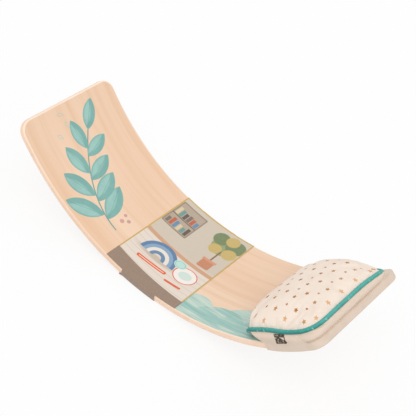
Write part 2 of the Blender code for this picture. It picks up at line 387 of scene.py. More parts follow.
def printed(graph: Graph, ground: Any, patches: Iterable[Patch], place: Wire) -> tuple[Wire, Wire]:
    """Lays printed patches over a ground colour, one after another.

    Args:
        graph: The tree to write in.
        ground: The colour or wire beneath the patches.
        patches: The patches, from the lowest to the topmost.
        place: The vector of the place along and across the artwork.

    Returns:
        The wires of the colour and of how much ink lies there.
    """
    color, ink = ground, 0.0
    for patch in patches:
        mask = patch.mask(graph, place)
        color = graph.blend(mask, color, patch.color)
        ink = graph.math("MAXIMUM", ink, mask)
    return color, ink


class Grain(Enum):
    """Which way a veneer's fibres run."""

    ALONG = "along"
    ACROSS = "across"


class Finish:
    """A look that each finish writes into a shader in its own way."""

    def material(self, name: str) -> bpy.types.Material:
        """Makes a material with this look.

        Args:
            name: The material's name.

        Returns:
            The material.
        """
        shader = Shader(name)
        self.write(shader)
        return shader.material

    def write(self, shader: Shader) -> None:
        """Writes the look into the tree of a new material."""
        raise NotImplementedError(type(self).__name__)


@dataclass(frozen=True)
class WoodFinish(Finish):
    """Clear-coated veneer with fine lines, long soft streaks and short flecks, and a painted highlight on its
    rounded-over edges.
    """

    color: Color = srgb(236, 200, 170)
    streak: Color = srgb(226, 184, 147)
    pale: Color = srgb(240, 209, 182)
    painted_edge_highlight: Color = srgb(255, 236, 216)
    grain: Grain = Grain.ALONG
    roughness: float = 0.42

    def ground(self, shader: Shader) -> tuple[Wire, Wire]:
        """Writes the wood's colour, its grain and the painted highlight on its rounded-over edge.

        Args:
            shader: The material to write in.

        Returns:
            The wires of the colour and of the grain's height.
        """
        along, y, depth = shader.arc_place()
        rounded = shader.ramp(self.from_edge(shader, along, y), -0.0040, -0.0030)
        rounded = rounded * shader.ramp(depth, 0.0034, 0.0018)
        if self.grain is Grain.ACROSS:
            along, y = y, along
        wander = shader.noise((along * 2.2, y * 5.0, depth * 5.0), 1.0) * 0.02
        across = y + wander
        lines = shader.noise((along * 3.5, across * 420.0, depth * 420.0), 1.0, 3.0, 0.6)
        streaks = shader.noise((along * 1.6, across * 48.0, depth * 48.0), 1.0, 3.0, 0.55)
        broad = shader.noise((along * 1.1, across * 9.0, depth * 9.0), 1.0, 1.0)
        flecks = shader.noise((along * 26.0, across * 700.0, depth * 700.0), 1.0, 0.0)
        color = shader.tint(self.color, self.pale, broad, 0.35, 0.7)
        color = shader.tint(color, self.streak, streaks, 0.42, 0.72, 0.6)
        color = shader.tint(color, self.streak, lines, 0.5, 0.75, 0.28)
        color = shader.tint(color, srgb(205, 152, 105), flecks, 0.74, 0.86, 0.22)
        # The rounded-over edge is blended towards a pale colour: a painted highlight where the edge catches
        # the light.
        color = shader.blend(rounded * shader.ramp(broad, 0.25, 0.6, 0.25, 0.80), color, self.painted_edge_highlight)
        return color, lines * 0.6 + flecks * 0.4

    def from_edge(self, shader: Shader, along: Wire, y: Wire) -> Wire:
        """How far a place lies outside the board's outline, and less than nothing inside it."""
        half = (ARC.half_angle * ARC.inner_radius, ARC.half_width)
        outline = Patch(Shape.BAR, (0.0, 0.0), half, self.color, corner=ARC.corner)
        return outline.distance(shader, shader.vector(along, y))

    def write(self, shader: Shader) -> None:
        """Writes the bare wood under its clear coat."""
        color, height = self.ground(shader)
        self._coat(shader, color, height)

    def _coat(self, shader: Shader, color: Wire, height: Wire) -> None:
        """Joins the colour and the grain to the shader under a thin clear coat."""
        shader.set(Base_Color=color, Roughness=self.roughness, Normal=shader.bump(height, 0.00006, 0.6))
        shader.set(Coat_Weight=0.12, Coat_Roughness=0.28)


@dataclass(frozen=True)
class EdgeFinish(WoodFinish):
    """The sanded side of one veneer in the stack, which shows end or long grain."""

    color: Color = srgb(250, 219, 194)
    streak: Color = srgb(238, 199, 166)
    pale: Color = srgb(255, 228, 205)


@dataclass(frozen=True)
class PrintedWoodFinish(WoodFinish):
    """The top veneer, with a sprig of leaves and a row of round hills in teal wash."""

    ink: Color = srgb(112, 172, 166)
    deep_ink: Color = srgb(88, 152, 148)
    light_ink: Color = srgb(148, 198, 190)
    hill_ink: Color = srgb(148, 194, 186)
    far_hill_ink: Color = srgb(180, 208, 197)
    stroke: Color = srgb(206, 219, 208)
    berry: Color = srgb(214, 150, 146)
    cover: float = 0.95
    stem: tuple[Spot, Spot, Spot] = ((-0.168, -0.082), (-0.285, -0.078), (-0.432, 0.036))
    leaf_half: Spot = (0.051, 0.0225)

    def stem_point(self, share: float) -> tuple[Spot, float]:
        """A point on the sprig's stem.

        Args:
            share: From 0 at the stem's foot to 1 at its tip.

        Returns:
            The point and the stem's heading there, in radians.
        """
        (x0, y0), (x1, y1), (x2, y2) = self.stem
        rest = 1 - share
        point = (
            rest * rest * x0 + 2 * rest * share * x1 + share * share * x2,
            rest * rest * y0 + 2 * rest * share * y1 + share * share * y2,
        )
        along = (rest * (x1 - x0) + share * (x2 - x1), rest * (y1 - y0) + share * (y2 - y1))
        return point, math.atan2(along[1], along[0])

    def sprig(self) -> list[Patch]:
        """The stem, its paired leaves with their midribs, and the leaf at its tip.

        Returns:
            The patches, lowest first.
        """
        patches = []
        shares = spaced(0.0, 0.93, 12)
        for start, end in zip(shares, shares[1:]):
            (x0, y0), _ = self.stem_point(start)
            (x1, y1), _ = self.stem_point(end)
            half = (math.hypot(x1 - x0, y1 - y0) / 2 + 0.0016, 0.0016)
            turn = math.atan2(y1 - y0, x1 - x0)
            middle = ((x0 + x1) / 2, (y0 + y1) / 2)
            patches.append(Patch(Shape.BAR, middle, half, self.deep_ink, turn, 0.0015))
        for index, share in enumerate((0.16, 0.36, 0.56, 0.76)):
            for side in (-1, 1):
                lean = side * math.radians(50 - 4 * index)
                patches += self.leaf(share + 0.03 * side, lean, 1 - 0.07 * index)
        patches += self.leaf(0.93, 0.0, 0.8)
        return patches

    def leaf(self, share: float, lean: float, size: float) -> list[Patch]:
        """One leaf and its midrib.

        Args:
            share: Where it grows from the stem, as a share of the stem's length.
            lean: Its turn from the stem's heading, in radians.
            size: Its size, as a share of the largest leaf's.

        Returns:
            The leaf, a lighter half on its upper side, and the midrib over them.
        """
        (x, y), heading = self.stem_point(share)
        turn = heading + lean
        length, width = self.leaf_half[0] * size, self.leaf_half[1] * size
        centre = (x + length * 1.02 * math.cos(turn), y + length * 1.02 * math.sin(turn))
        aside = 0.30 * width
        lit = (centre[0] - aside * math.sin(turn), centre[1] + aside * math.cos(turn))
        return [
            Patch(Shape.LEAF, centre, (length, width), self.ink, turn),
            Patch(Shape.LEAF, lit, (length * 0.80, width * 0.52), self.light_ink, turn, soft=0.004),
            Patch(Shape.BAR, centre, (length * 0.86, 0.0004), self.deep_ink, turn, soft=0.0004),
        ]

    def berries(self) -> list[Patch]:
        """Round berries and pale seed drops beside the stem.

        Returns:
            The patches, lowest first.
        """
        patches = []
        for share, aside, radius in ((0.05, -0.030, 0.0058), (0.00, -0.044, 0.0050), (0.09, -0.048, 0.0044)):
            spot = self.beside(share, aside)
            patches.append(Patch(Shape.ELLIPSE, spot, (radius, radius), self.berry, soft=0.0008))
        for share, aside, turn in ((0.93, 0.060, 0.2), (0.84, 0.076, 0.7), (0.98, 0.083, 1.2)):
            spot = self.beside(share, aside)
            patches.append(Patch(Shape.LEAF, spot, (0.0085, 0.0038), self.far_hill_ink, turn, line=0.0014))
        return patches

    def beside(self, share: float, aside: float) -> Spot:
        """A point so far to the left of the stem's heading at a share of its length."""
        (x, y), heading = self.stem_point(share)
        return x - aside * math.sin(heading), y + aside * math.cos(heading)

    def hills(self) -> list[Patch]:
        """Overlapping round hills along the near edge, from the sleeve to under the pillow.

        Returns:
            The patches, lowest first.
        """
        rounds = (
            ((0.245, -0.205), (0.098, 0.150), self.far_hill_ink),
            ((0.112, -0.190), (0.074, 0.118), self.far_hill_ink),
            ((0.190, -0.200), (0.100, 0.122), self.hill_ink),
            ((0.300, -0.215), (0.090, 0.132), self.hill_ink),
            ((0.090, -0.215), (0.075, 0.110), self.hill_ink),
        )
        return [Patch(Shape.ELLIPSE, centre, half, ink, soft=0.0008) for centre, half, ink in rounds]

    def write(self, shader: Shader) -> None:
        """Writes the printed wood, with the ink on the top face alone."""
        color, height = self.ground(shader)
        along, y, depth = shader.arc_place()
        on_face = shader.ramp(depth, 0.0007, 0.0004)
        on_print = on_face * shader.ramp(shader.math("ABSOLUTE", y), 0.1482, 0.1472)
        tooth = shader.noise((along * 60.0, y * 900.0), 1.0, 2.0)
        cover = on_print * shader.ramp(tooth, 0.0, 0.3, 0.8, self.cover)
        place = shader.vector(along, y)
        wash = shader.noise(place, 15.0, 5.0, 0.65)
        tint, ink = printed(shader, self.ink, (*self.sprig(), *self.berries()), place)
        tint = shader.tint(tint, self.deep_ink, wash, 0.40, 0.70, 0.35)
        tint = shader.tint(tint, self.light_ink, wash, 0.50, 0.25, 0.30)
        color = shader.blend(ink * cover, color, tint)
        swept = y + along * 0.10
        strokes = shader.noise((along * 7.0, swept * 60.0), 1.0, 4.0, 0.62)
        bristles = shader.noise((along * 12.0, swept * 330.0), 1.0, 2.0)
        tint, ink = printed(shader, self.hill_ink, self.hills(), place)
        light = shader.ramp(strokes * 0.65 + bristles * 0.35, 0.48, 0.60, 0.0, 0.85)
        dark = shader.ramp(strokes * 0.55 + bristles * 0.45, 0.48, 0.36, 0.0, 0.75)
        tint = shader.blend(dark, shader.blend(light, tint, self.stroke), self.ink)
        color = shader.blend(ink * cover, color, tint)
        self._coat(shader, color, height)


@dataclass(frozen=True)
class CardFinish(Finish):
    """Gloss-printed card with a plain geometric design inside a gold border."""

    band: Color = srgb(147, 122, 103)
    ground: Color = srgb(215, 200, 181)
    floor: Color = srgb(226, 213, 200)
    gold: Color = srgb(200, 165, 80)
    border: float = 0.0034
    left: float = ARC.inner_radius * math.radians(-13.65)
    right: float = ARC.inner_radius * math.radians(8.95)
    band_edge: Spot = (-0.1059, -0.1217)

    def design(self) -> list[Patch]:
        """The printed shapes.

        Returns:
            The patches, lowest first.
        """
        patches = [
            Patch(Shape.BAR, (-0.023, 0.075), (0.115, 0.080), srgb(206, 192, 174), soft=0.006),
            Patch(Shape.BAR, (-0.023, -0.075), (0.115, 0.062), self.floor),
        ]
        for index in range(6):
            centre = (-0.023, -0.028 - 0.0165 * index)
            patches.append(Patch(Shape.BAR, centre, (0.115, 0.0006), srgb(206, 186, 166), -0.05, soft=0.0006))
        patches.append(Patch(Shape.BAR, (-0.02, -0.010), (0.122, 0.0055), srgb(205, 156, 120), -0.05))
        return patches + self.shelf() + self.foliage() + self.arches() + self.badges()

    def shelf(self) -> list[Patch]:
        """A brown shelf with a row of upright blocks.

        Returns:
            The patches, lowest first.
        """
        patches = [
            Patch(Shape.BAR, (-0.088, 0.086), (0.040, 0.046), srgb(150, 132, 114), 0.0, 0.004),
            Patch(Shape.BAR, (-0.088, 0.086), (0.036, 0.042), srgb(178, 160, 140), 0.0, 0.003),
            Patch(Shape.BAR, (-0.088, 0.082), (0.038, 0.0018), srgb(120, 102, 86)),
        ]
        colors = (
            (120, 104, 92), (186, 92, 56), (98, 134, 166),
            (214, 196, 160), (104, 148, 140), (92, 78, 68),
        )
        for index, color in enumerate(colors):
            for level, base in enumerate((0.046, 0.085)):
                tall = 0.0095 + 0.0040 * ((index * 3 + level * 2) % 4) / 3
                centre = (-0.117 + 0.0117 * ((index + 3 * level) % 6), base + tall)
                patches.append(Patch(Shape.BAR, centre, (0.0047, tall), srgb(*color), 0.0, 0.001))
        return patches

    def foliage(self) -> list[Patch]:
        """A round-headed bush in a pot, in olive and ochre.

        Returns:
            The patches, lowest first.
        """
        sage, ochre, moss = srgb(146, 156, 104), srgb(198, 172, 100), srgb(112, 128, 84)
        crowns = (
            ((0.036, 0.094), 0.034, sage), ((0.060, 0.108), 0.026, moss), ((0.014, 0.112), 0.022, moss),
            ((0.062, 0.078), 0.019, ochre), ((0.022, 0.074), 0.017, ochre), ((0.042, 0.122), 0.018, ochre),
        )
        patches = [
            Patch(Shape.ELLIPSE, centre, (half, half), color, soft=0.0015)
            for centre, half, color in crowns
        ]
        patches.append(Patch(Shape.BAR, (0.041, 0.045), (0.0022, 0.030), srgb(132, 98, 72)))
        patches.append(Patch(Shape.BAR, (0.041, 0.016), (0.017, 0.017), srgb(196, 128, 92), 0.0, 0.005))
        patches.append(Patch(Shape.BAR, (0.041, 0.030), (0.020, 0.004), srgb(210, 146, 110), 0.0, 0.002))
        return patches

    def arches(self) -> list[Patch]:
        """A nest of toy arches that stands on the floor.

        Returns:
            The patches, lowest first.
        """
        foot = (-0.052, -0.060)
        bands = (
            (0.0470, (84, 122, 160)), (0.0372, (128, 160, 190)),
            (0.0274, (232, 222, 208)), (0.0176, (96, 132, 166)),
        )
        under = (foot[0], foot[1] - 0.001)
        shade = Patch(Shape.ELLIPSE, under, (0.056, 0.008), srgb(196, 180, 162), soft=0.004)
        return [shade] + [Patch(Shape.ARCH, foot, (radius, 0.0049), srgb(*color)) for radius, color in bands]

    def badges(self) -> list[Patch]:
        """A blank white oval in an orange ring, a blank mint spot and two blank orange bars.

        Returns:
            The patches, lowest first.
        """
        white, orange = srgb(240, 234, 226), srgb(222, 88, 42)
        mint, teal = srgb(186, 221, 211), srgb(128, 186, 178)
        return [
            Patch(Shape.ELLIPSE, (0.034, -0.052), (0.031, 0.025), white),
            Patch(Shape.ELLIPSE, (0.034, -0.052), (0.031, 0.025), orange, line=0.0021),
            Patch(Shape.ELLIPSE, (0.034, -0.052), (0.018, 0.0125), srgb(206, 222, 214)),
            Patch(Shape.ELLIPSE, (0.002, -0.031), (0.017, 0.013), mint),
            Patch(Shape.ELLIPSE, (0.002, -0.031), (0.0135, 0.0095), teal, line=0.0012),
            Patch(Shape.BAR, (-0.046, -0.083), (0.044, 0.0048), orange, 0.06, 0.0047),
            Patch(Shape.BAR, (-0.046, -0.083), (0.038, 0.0012), srgb(244, 206, 180), 0.06, 0.0011),
            Patch(Shape.BAR, (0.030, -0.094), (0.024, 0.0030), orange, 0.06, 0.0029),
        ]

    def write(self, shader: Shader) -> None:
        """Writes the printed side, with its gold border and its brown band."""
        along, y, depth = shader.arc_place()
        color, _ = printed(shader, self.ground, self.design(), shader.vector(along, y))
        start, end = self.band_edge
        slope = (end - start) / (self.right - self.left)
        in_band = shader.ramp(y - ((along - self.left) * slope + start), 0.0003, -0.0003)
        from_border = shader.math("MINIMUM", along - self.left, self.right - along)
        from_border = shader.math("MINIMUM", from_border, ARC.half_width - 0.0015 - y)
        in_border = shader.ramp(from_border, self.border + 0.0002, self.border - 0.0002)
        color = shader.blend(in_border, color, self.gold)
        color = shader.blend(in_band, color, self.band)
        color = shader.tint(color, self.band, depth, 0.0010, 0.0016)
        fibres = shader.noise((along * 300.0, y * 300.0, depth * 300.0), 1.0, 3.0)
        color = shader.tint(color, srgb(255, 250, 244), fibres, 0.4, 0.8, 0.06)
        shader.set(Base_Color=color, Roughness=0.38, Normal=shader.bump(fibres, 0.00003, 0.4))
        shader.set(Coat_Weight=0.25, Coat_Roughness=0.2)


@dataclass(frozen=True)
class RawCardFinish(Finish):
    """The card's unprinted inside and its cut edges."""

    color: Color = srgb(206, 196, 182)

    def write(self, shader: Shader) -> None:
        """Writes the raw card, with its fibres."""
        x, y, z = shader.object_place()
        fibres = shader.noise((x * 700.0, y * 260.0, z * 700.0), 1.0, 4.0)
        color = shader.tint(self.color, srgb(186, 174, 158), fibres, 0.35, 0.75)
        shader.set(Base_Color=color, Roughness=0.85, Normal=shader.bump(fibres, 0.00005, 0.6))


@dataclass(frozen=True)
class ClothFinish(Finish):
    """Woven cotton with a fine thread, soft mottling and a little sheen."""

    color: Color = srgb(247, 231, 217)
    shade: Color = srgb(236, 217, 200)
    thread: float = 0.00055
    depth: float = 0.00012

    def weave(self, shader: Shader) -> Wire:
        """The height of the woven threads, from 0 to 1."""
        across, along = shader.flat_place()
        turn = math.pi / self.thread
        warp = shader.math("SINE", across * turn)
        weft = shader.math("SINE", along * turn)
        return warp * weft * 0.5 + 0.5

    def base(self, shader: Shader) -> Wire:
        """The cloth's colour, a little darker in soft patches, with painted shade between the threads."""
        x, y, z = shader.object_place()
        mottle = shader.noise((x, y, z), 26.0, 3.0, 0.6)
        color = shader.tint(self.color, self.shade, mottle, 0.38, 0.72, 0.45)
        # Darker where the weave is low: painted shade between the threads.
        return shader.tint(color, self.shade, self.weave(shader), 0.45, 0.1, 0.14)

    def write(self, shader: Shader) -> None:
        """Writes the plain cloth."""
        self.sew(shader, self.base(shader))

    def sew(self, shader: Shader, color: Wire) -> None:
        """Joins a colour to the shader with the cloth's weave, crumple and sheen.

        Args:
            shader: The material to write in.
            color: The cloth's printed or plain colour.
        """
        x, y, z = shader.object_place()
        crumple = shader.noise((x, y, z), 55.0, 4.0, 0.62)
        under = shader.bump(crumple, 0.0011, 0.35)
        normal = shader.bump(self.weave(shader), self.depth, 0.55, under)
        shader.set(Base_Color=color, Roughness=0.86, Normal=normal)
        shader.set(Sheen_Weight=0.12, Sheen_Roughness=0.5, Specular_IOR_Level=0.3)


PLAIN_CLOTH = ClothFinish(color=srgb(232, 214, 198), shade=srgb(217, 197, 179))


@dataclass(frozen=True)
class PocketClothFinish(ClothFinish):
    """The pocket's unbleached cotton, with painted light along the seam."""

    color: Color = srgb(222, 203, 186)
    shade: Color = srgb(208, 188, 170)
    painted_seam_light: Color = srgb(232, 210, 191)
    seam_light_reach: Spot = (0.026, 0.012)

    def base(self, shader: Shader) -> Wire:
        """The cloth's colour, with painted light that makes it paler near the seam."""
        _, from_seam = shader.flat_place()
        # Paler towards the seam: painted light.
        painted_light_share = shader.ramp(from_seam, *self.seam_light_reach, 0.0, 0.75)
        return shader.blend(painted_light_share, super().base(shader), self.painted_seam_light)


@dataclass(frozen=True)
class StarredClothFinish(ClothFinish):
    """The same cotton, printed with small and large five-pointed copper stars."""

    tile: Spot = (0.05445, 0.04803)
    small: tuple[Spot, float] = ((0.0088, 0.0419), 0.0038)
    large: tuple[tuple[Spot, float], ...] = (((0.0165, 0.0153), 0.0057), ((0.0381, 0.0326), 0.0060))
    drift: float = 0.0066
    drift_middle: float = 0.022
    drift_reach: float = 0.066
    copper: Color = srgb(178, 116, 36)
    light_copper: Color = srgb(226, 178, 132)
    dark_copper: Color = srgb(157, 98, 28)
    waist: float = 0.50

    def write(self, shader: Shader) -> None:
        """Writes the cloth and its stars, which are paler towards two sides."""
        color = self.base(shader)
        across, along = shader.flat_place()
        paler_share = shader.ramp(along, -0.100, -0.130) * shader.ramp(across, 0.045, 0.020)
        paler_share = shader.math("MAXIMUM", paler_share, shader.ramp(across, 0.058, 0.088))
        for origin, radius in (self.small, *self.large):
            mask, chance = self.stars(shader, origin, radius)
            tint = shader.tint(self.dark_copper, self.copper, chance, 0.0, 0.8)
            tint = shader.blend(paler_share * shader.ramp(chance, 0.0, 0.5, 0.7, 1.0), tint, self.light_copper)
            color = shader.blend(mask * 0.97, color, tint)
        self.sew(shader, color)

    def stars(self, shader: Shader, origin: Spot, radius: float) -> tuple[Wire, Wire]:
        """One star in each tile, a little turned by chance.

        Args:
            shader: The material to write in.
            origin: The star's place in the tile.
            radius: From the star's middle to its tips.

        Returns:
            The wires of the stars' mask and of a chance value for each star.
        """
        across, along = shader.flat_place()
        from_middle = (across - self.drift_middle) / self.drift_reach
        along = along + (from_middle * from_middle - 0.5) * self.drift
        columns = (across - origin[0]) / self.tile[0] + 0.5
        rows = (along - origin[1]) / self.tile[1] + 0.5
        column, row = shader.math("FLOOR", columns), shader.math("FLOOR", rows)
        chance = shader.wire("ShaderNodeTexWhiteNoise", {"Vector": shader.vector(column, row, radius * 1000)})
        x = (columns - column - 0.5) * self.tile[0]
        y = (rows - row - 0.5) * self.tile[1]
        turn = shader.math("ARCTAN2", y, x) + chance * math.tau
        half_point = math.pi / 5
        fold = shader.math("PINGPONG", turn, half_point)
        reach = shader.math("SQRT", x * x + y * y)
        tip = reach * shader.math("COSINE", fold) - radius
        side = reach * shader.math("SINE", fold)
        inner = radius * self.waist
        slope = Vector((inner * math.sin(half_point), radius - inner * math.cos(half_point))).normalized()
        return shader.ramp(tip * slope.x + side * slope.y, 0.00025, -0.00025), chance


@dataclass(frozen=True)
class PipingFinish(Finish):
    """Teal cotton cut on the bias round a cord, with its weave at a slant."""

    color: Color = srgb(48, 153, 144)
    light: Color = srgb(94, 181, 170)
    dark: Color = srgb(24, 120, 114)
    thread: float = 0.0006

    def write(self, shader: Shader) -> None:
        """Writes the piping's cloth, with painted light on top, painted shade below and painted highlights in
        pale marks.
        """
        across, along = shader.flat_place()
        turn = math.pi / self.thread
        weave = shader.math("SINE", (along + across) * turn) * shader.math("SINE", (along - across) * turn)
        folds = shader.noise((across * 60.0, along * 210.0), 1.0, 3.0, 0.6)
        patches = shader.noise((across * 10.0, along * 22.0), 1.0, 2.0)
        color = shader.tint(self.color, self.light, folds, 0.42, 0.75, 0.8)
        color = shader.tint(color, self.dark, patches, 0.5, 0.75, 0.6)
        # Lighter where the cord faces up and darker where it faces down: painted light and painted shade.
        up = shader.wire("ShaderNodeAttribute", output="Fac", attribute_name=UPWARD)
        color = shader.tint(color, self.light, up, 0.62, 1.0, 0.6)
        color = shader.tint(color, self.dark, up, 0.62, 0.0, 0.9)
        # Pale teal marks at random: painted highlights where the gathered cloth catches the light.
        gather_highlights = shader.noise((across * 70.0, along * 120.0, 5.0), 1.0, 2.0, 0.6)
        color = shader.tint(color, srgb(172, 216, 206), gather_highlights, 0.62, 0.74, 0.6)
        under = shader.bump(folds, 0.0012, 0.6)
        normal = shader.bump(weave * 0.5 + 0.5, 0.00012, 0.5, under)
        shader.set(Base_Color=color, Roughness=0.7, Normal=normal)
        shader.set(Sheen_Weight=0.15, Sheen_Roughness=0.4)


@dataclass(frozen=True)
class LabelFinish(Finish):
    """A blank damask label, dark brown with pale threads that show through at random."""

    color: Color = srgb(66, 55, 43)
    fleck: Color = srgb(188, 176, 156)
    thread: float = 0.0006

    def write(self, shader: Shader) -> None:
        """Writes the label's threads."""
        across, along = shader.flat_place()
        column, row = shader.math("FLOOR", across / self.thread), shader.math("FLOOR", along / self.thread)
        chance = shader.wire("ShaderNodeTexWhiteNoise", {"Vector": shader.vector(column, row)})
        clumps = shader.noise((across, along), 210.0, 2.0)
        show = shader.ramp(chance * 0.06 + clumps, 0.59, 0.63, 0.0, 0.9)
        height = shader.math("SINE", across * (math.pi / self.thread)) * 0.5 + 0.5
        color = shader.blend(show, self.color, self.fleck)
        shader.set(Base_Color=color, Roughness=0.7, Normal=shader.bump(height, 0.0001, 0.5))


@dataclass(frozen=True)
class FibreFinish(Finish):
    """White polyester fibre, seen only where a seam would open."""

    color: Color = srgb(244, 243, 240)

    def write(self, shader: Shader) -> None:
        """Writes the fluffy fibre."""
        x, y, z = shader.object_place()
        fluff = shader.noise((x, y, z), 240.0, 5.0, 0.7)
        color = shader.tint(srgb(226, 225, 222), self.color, fluff, 0.3, 0.7)
        shader.set(Base_Color=color, Roughness=0.95, Normal=shader.bump(fluff, 0.002, 0.6))


def add_piece(name: str, mesh: bpy.types.Mesh, *materials: bpy.types.Material) -> Piece:
    """Puts a mesh in the scene at the origin, with its materials.

    Args:
        name: The piece's name.
        mesh: Its mesh, in place.
        *materials: Its materials, in the order of the mesh's material slots.

    Returns:
        The piece.
    """
    piece = bpy.data.objects.new(name, mesh)
    # Clearing an empty list would put every face back on the first slot.
    if mesh.materials:
        mesh.materials.clear()
    for material in materials:
        mesh.materials.append(material)
    bpy.context.scene.collection.objects.link(piece)
    return piece


def mesh_from(made: bmesh.types.BMesh, name: str) -> bpy.types.Mesh:
    """Turns an editable mesh into a plain one and frees it."""
    mesh = bpy.data.meshes.new(name)
    made.to_mesh(mesh)
    made.free()
    return mesh


def face_outwards(piece: Piece, outward: Sequence[float], cell: int = 0) -> None:
    """Flips an open sheet if one of its cells looks away from the outward side."""
    if piece.data.polygons[cell].normal.dot(Vector(outward)) < 0:
        piece.data.flip_normals()


def evaluated_mesh(piece: Piece) -> bpy.types.Mesh:
    """A plain copy of a piece's mesh with its modifiers in it."""
    bpy.context.view_layer.update()
    graph = bpy.context.evaluated_depsgraph_get()
    return bpy.data.meshes.new_from_object(piece.evaluated_get(graph), depsgraph=graph)


def apply_modifiers(piece: Piece) -> None:
    """Puts a piece's modifiers into its mesh."""
    mesh = evaluated_mesh(piece)
    piece.modifiers.clear()
    piece.data = mesh


def finish_piece(piece: Piece, body: str, slot: str, *nodes: str) -> None:
    """Rides a finished piece on its body and hides the CAD nodes that it stands for.

    Args:
        piece: The finished piece.
        body: The CAD body that it moves with.
        slot: The record's material slot. Not used.
        *nodes: The CAD nodes that it stands for.
    """
    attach(piece, body)
    if nodes:
        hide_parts(*nodes)
    log.info("%s rides on %s with %d faces", piece.name, body, len(piece.data.polygons))


Grid = Sequence[Sequence[Vector]]


def sheet_mesh(
    name: str,
    rows: Grid,
    flats: Sequence[Sequence[Spot]],
    present: Callable[[int, int], bool] | None = None,
) -> bpy.types.Mesh:
    """One open sheet of quads through rows of points, with its flat pattern as a UV map.

    Args:
        name: The mesh's name.
        rows: The points, row by row.
        flats: Each point's place on the flat pattern piece, in metres.
        present: Says by row and column whether a cell is there. All are if it is left out.

    Returns:
        The mesh, whose faces point out of the side that sees rows turn left to columns.
    """
    made = bmesh.new()
    verts = [[made.verts.new(point) for point in row] for row in rows]
    flat_map = made.loops.layers.uv.new(FLAT_MAP)
    for row in range(len(rows) - 1):
        for column in range(len(rows[0]) - 1):
            if present is not None and not present(row, column):
                continue
            corners = [(row, column), (row + 1, column), (row + 1, column + 1), (row, column + 1)]
            face = made.faces.new([verts[i][j] for i, j in corners])
            for loop, (i, j) in zip(face.loops, corners):
                loop[flat_map].uv = flats[i][j]
            face.smooth = True
    loose = [vert for vert in made.verts if not vert.link_faces]
    bmesh.ops.delete(made, geom=loose, context="VERTS")
    return mesh_from(made, name)


def thicken(piece: Piece, thickness: float, offset: float = -1, inside: int = 0, even: bool = False) -> None:
    """Gives an open sheet its thickness.

    Args:
        piece: The sheet, whose faces point outwards.
        thickness: How thick it gets.
        offset: -1 grows it inwards, 1 outwards.
        inside: How many material slots on the inner face and the rim come after the outer one's.
        even: Whether sharp folds keep the whole thickness, as stiff card does.
    """
    solid = piece.modifiers.new("thickness", "SOLIDIFY")
    solid.thickness = thickness
    solid.offset = offset
    solid.use_even_offset = even
    solid.use_quality_normals = True
    solid.material_offset = inside
    solid.material_offset_rim = inside
    apply_modifiers(piece)


def subdivide(piece: Piece) -> None:
    """Rounds a piece with one level of subdivision and puts it into its mesh."""
    rounding = piece.modifiers.new("rounding", "SUBSURF")
    rounding.levels = rounding.render_levels = 1
    apply_modifiers(piece)


class Pattern:
    """A Geometry Nodes tree with named inputs, run once for each piece that it makes."""

    def __init__(self, name: str, sizes: dict[str, float]) -> None:
        """Makes the tree's sockets.

        Args:
            name: The tree's name.
            sizes: The value of each size by its name, a whole number for a count.
        """
        self.tree = bpy.data.node_groups.new(name, "GeometryNodeTree")
        self.tree.is_modifier = True
        self.graph = Graph(self.tree)
        self.sockets = {}
        kinds = {"Geometry": ("NodeSocketGeometry", None), "Material": ("NodeSocketMaterial", None)}
        for label, value in sizes.items():
            kinds[label] = ("NodeSocketInt" if isinstance(value, int) else "NodeSocketFloat", value)
        for label, (kind, value) in kinds.items():
            socket = self.tree.interface.new_socket(name=label, in_out="INPUT", socket_type=kind)
            if value is not None:
                socket.default_value = value
            self.sockets[label] = socket.identifier
        self.tree.interface.new_socket(name="Geometry", in_out="OUTPUT", socket_type="NodeSocketGeometry")
        self.entry = self.tree.nodes.new("NodeGroupInput")

    def input(self, name: str) -> Wire:
        """The wire of a named input."""
        return Wire(self.graph, self.entry.outputs[name])

    def close(self, geometry: Wire) -> None:
        """Ends the tree with real geometry in its material."""
        real = self.graph.wire("GeometryNodeRealizeInstances", {0: geometry})
        inputs = {"Geometry": real, "Material": self.input("Material")}
        dressed = self.graph.wire("GeometryNodeSetMaterial", inputs)
        self.graph.put(self.tree.nodes.new("NodeGroupOutput").inputs[0], dressed)

    def run(
        self, name: str, material: bpy.types.Material, path: bpy.types.ID | None = None, **values: Any
    ) -> Piece:
        """Makes one piece.

        Args:
            name: The piece's name.
            material: Its material.
            path: The curve or mesh that the tree works on, or None for an empty mesh.
            **values: The inputs' values, with the spaces in their names as underscores.

        Returns:
            The piece, as a plain mesh without a modifier.
        """
        host = bpy.data.objects.new(f"{name}_host", path or bpy.data.meshes.new(f"{name}_host"))
        bpy.context.scene.collection.objects.link(host)
        modifier = host.modifiers.new("pattern", "NODES")
        modifier.node_group = self.tree
        modifier[self.sockets["Material"]] = material
        for label, value in values.items():
            modifier[self.sockets[label.replace("_", " ")]] = value
        mesh = evaluated_mesh(host)
        mesh.name = name
        bpy.data.objects.remove(host)
        return add_piece(name, mesh, material)


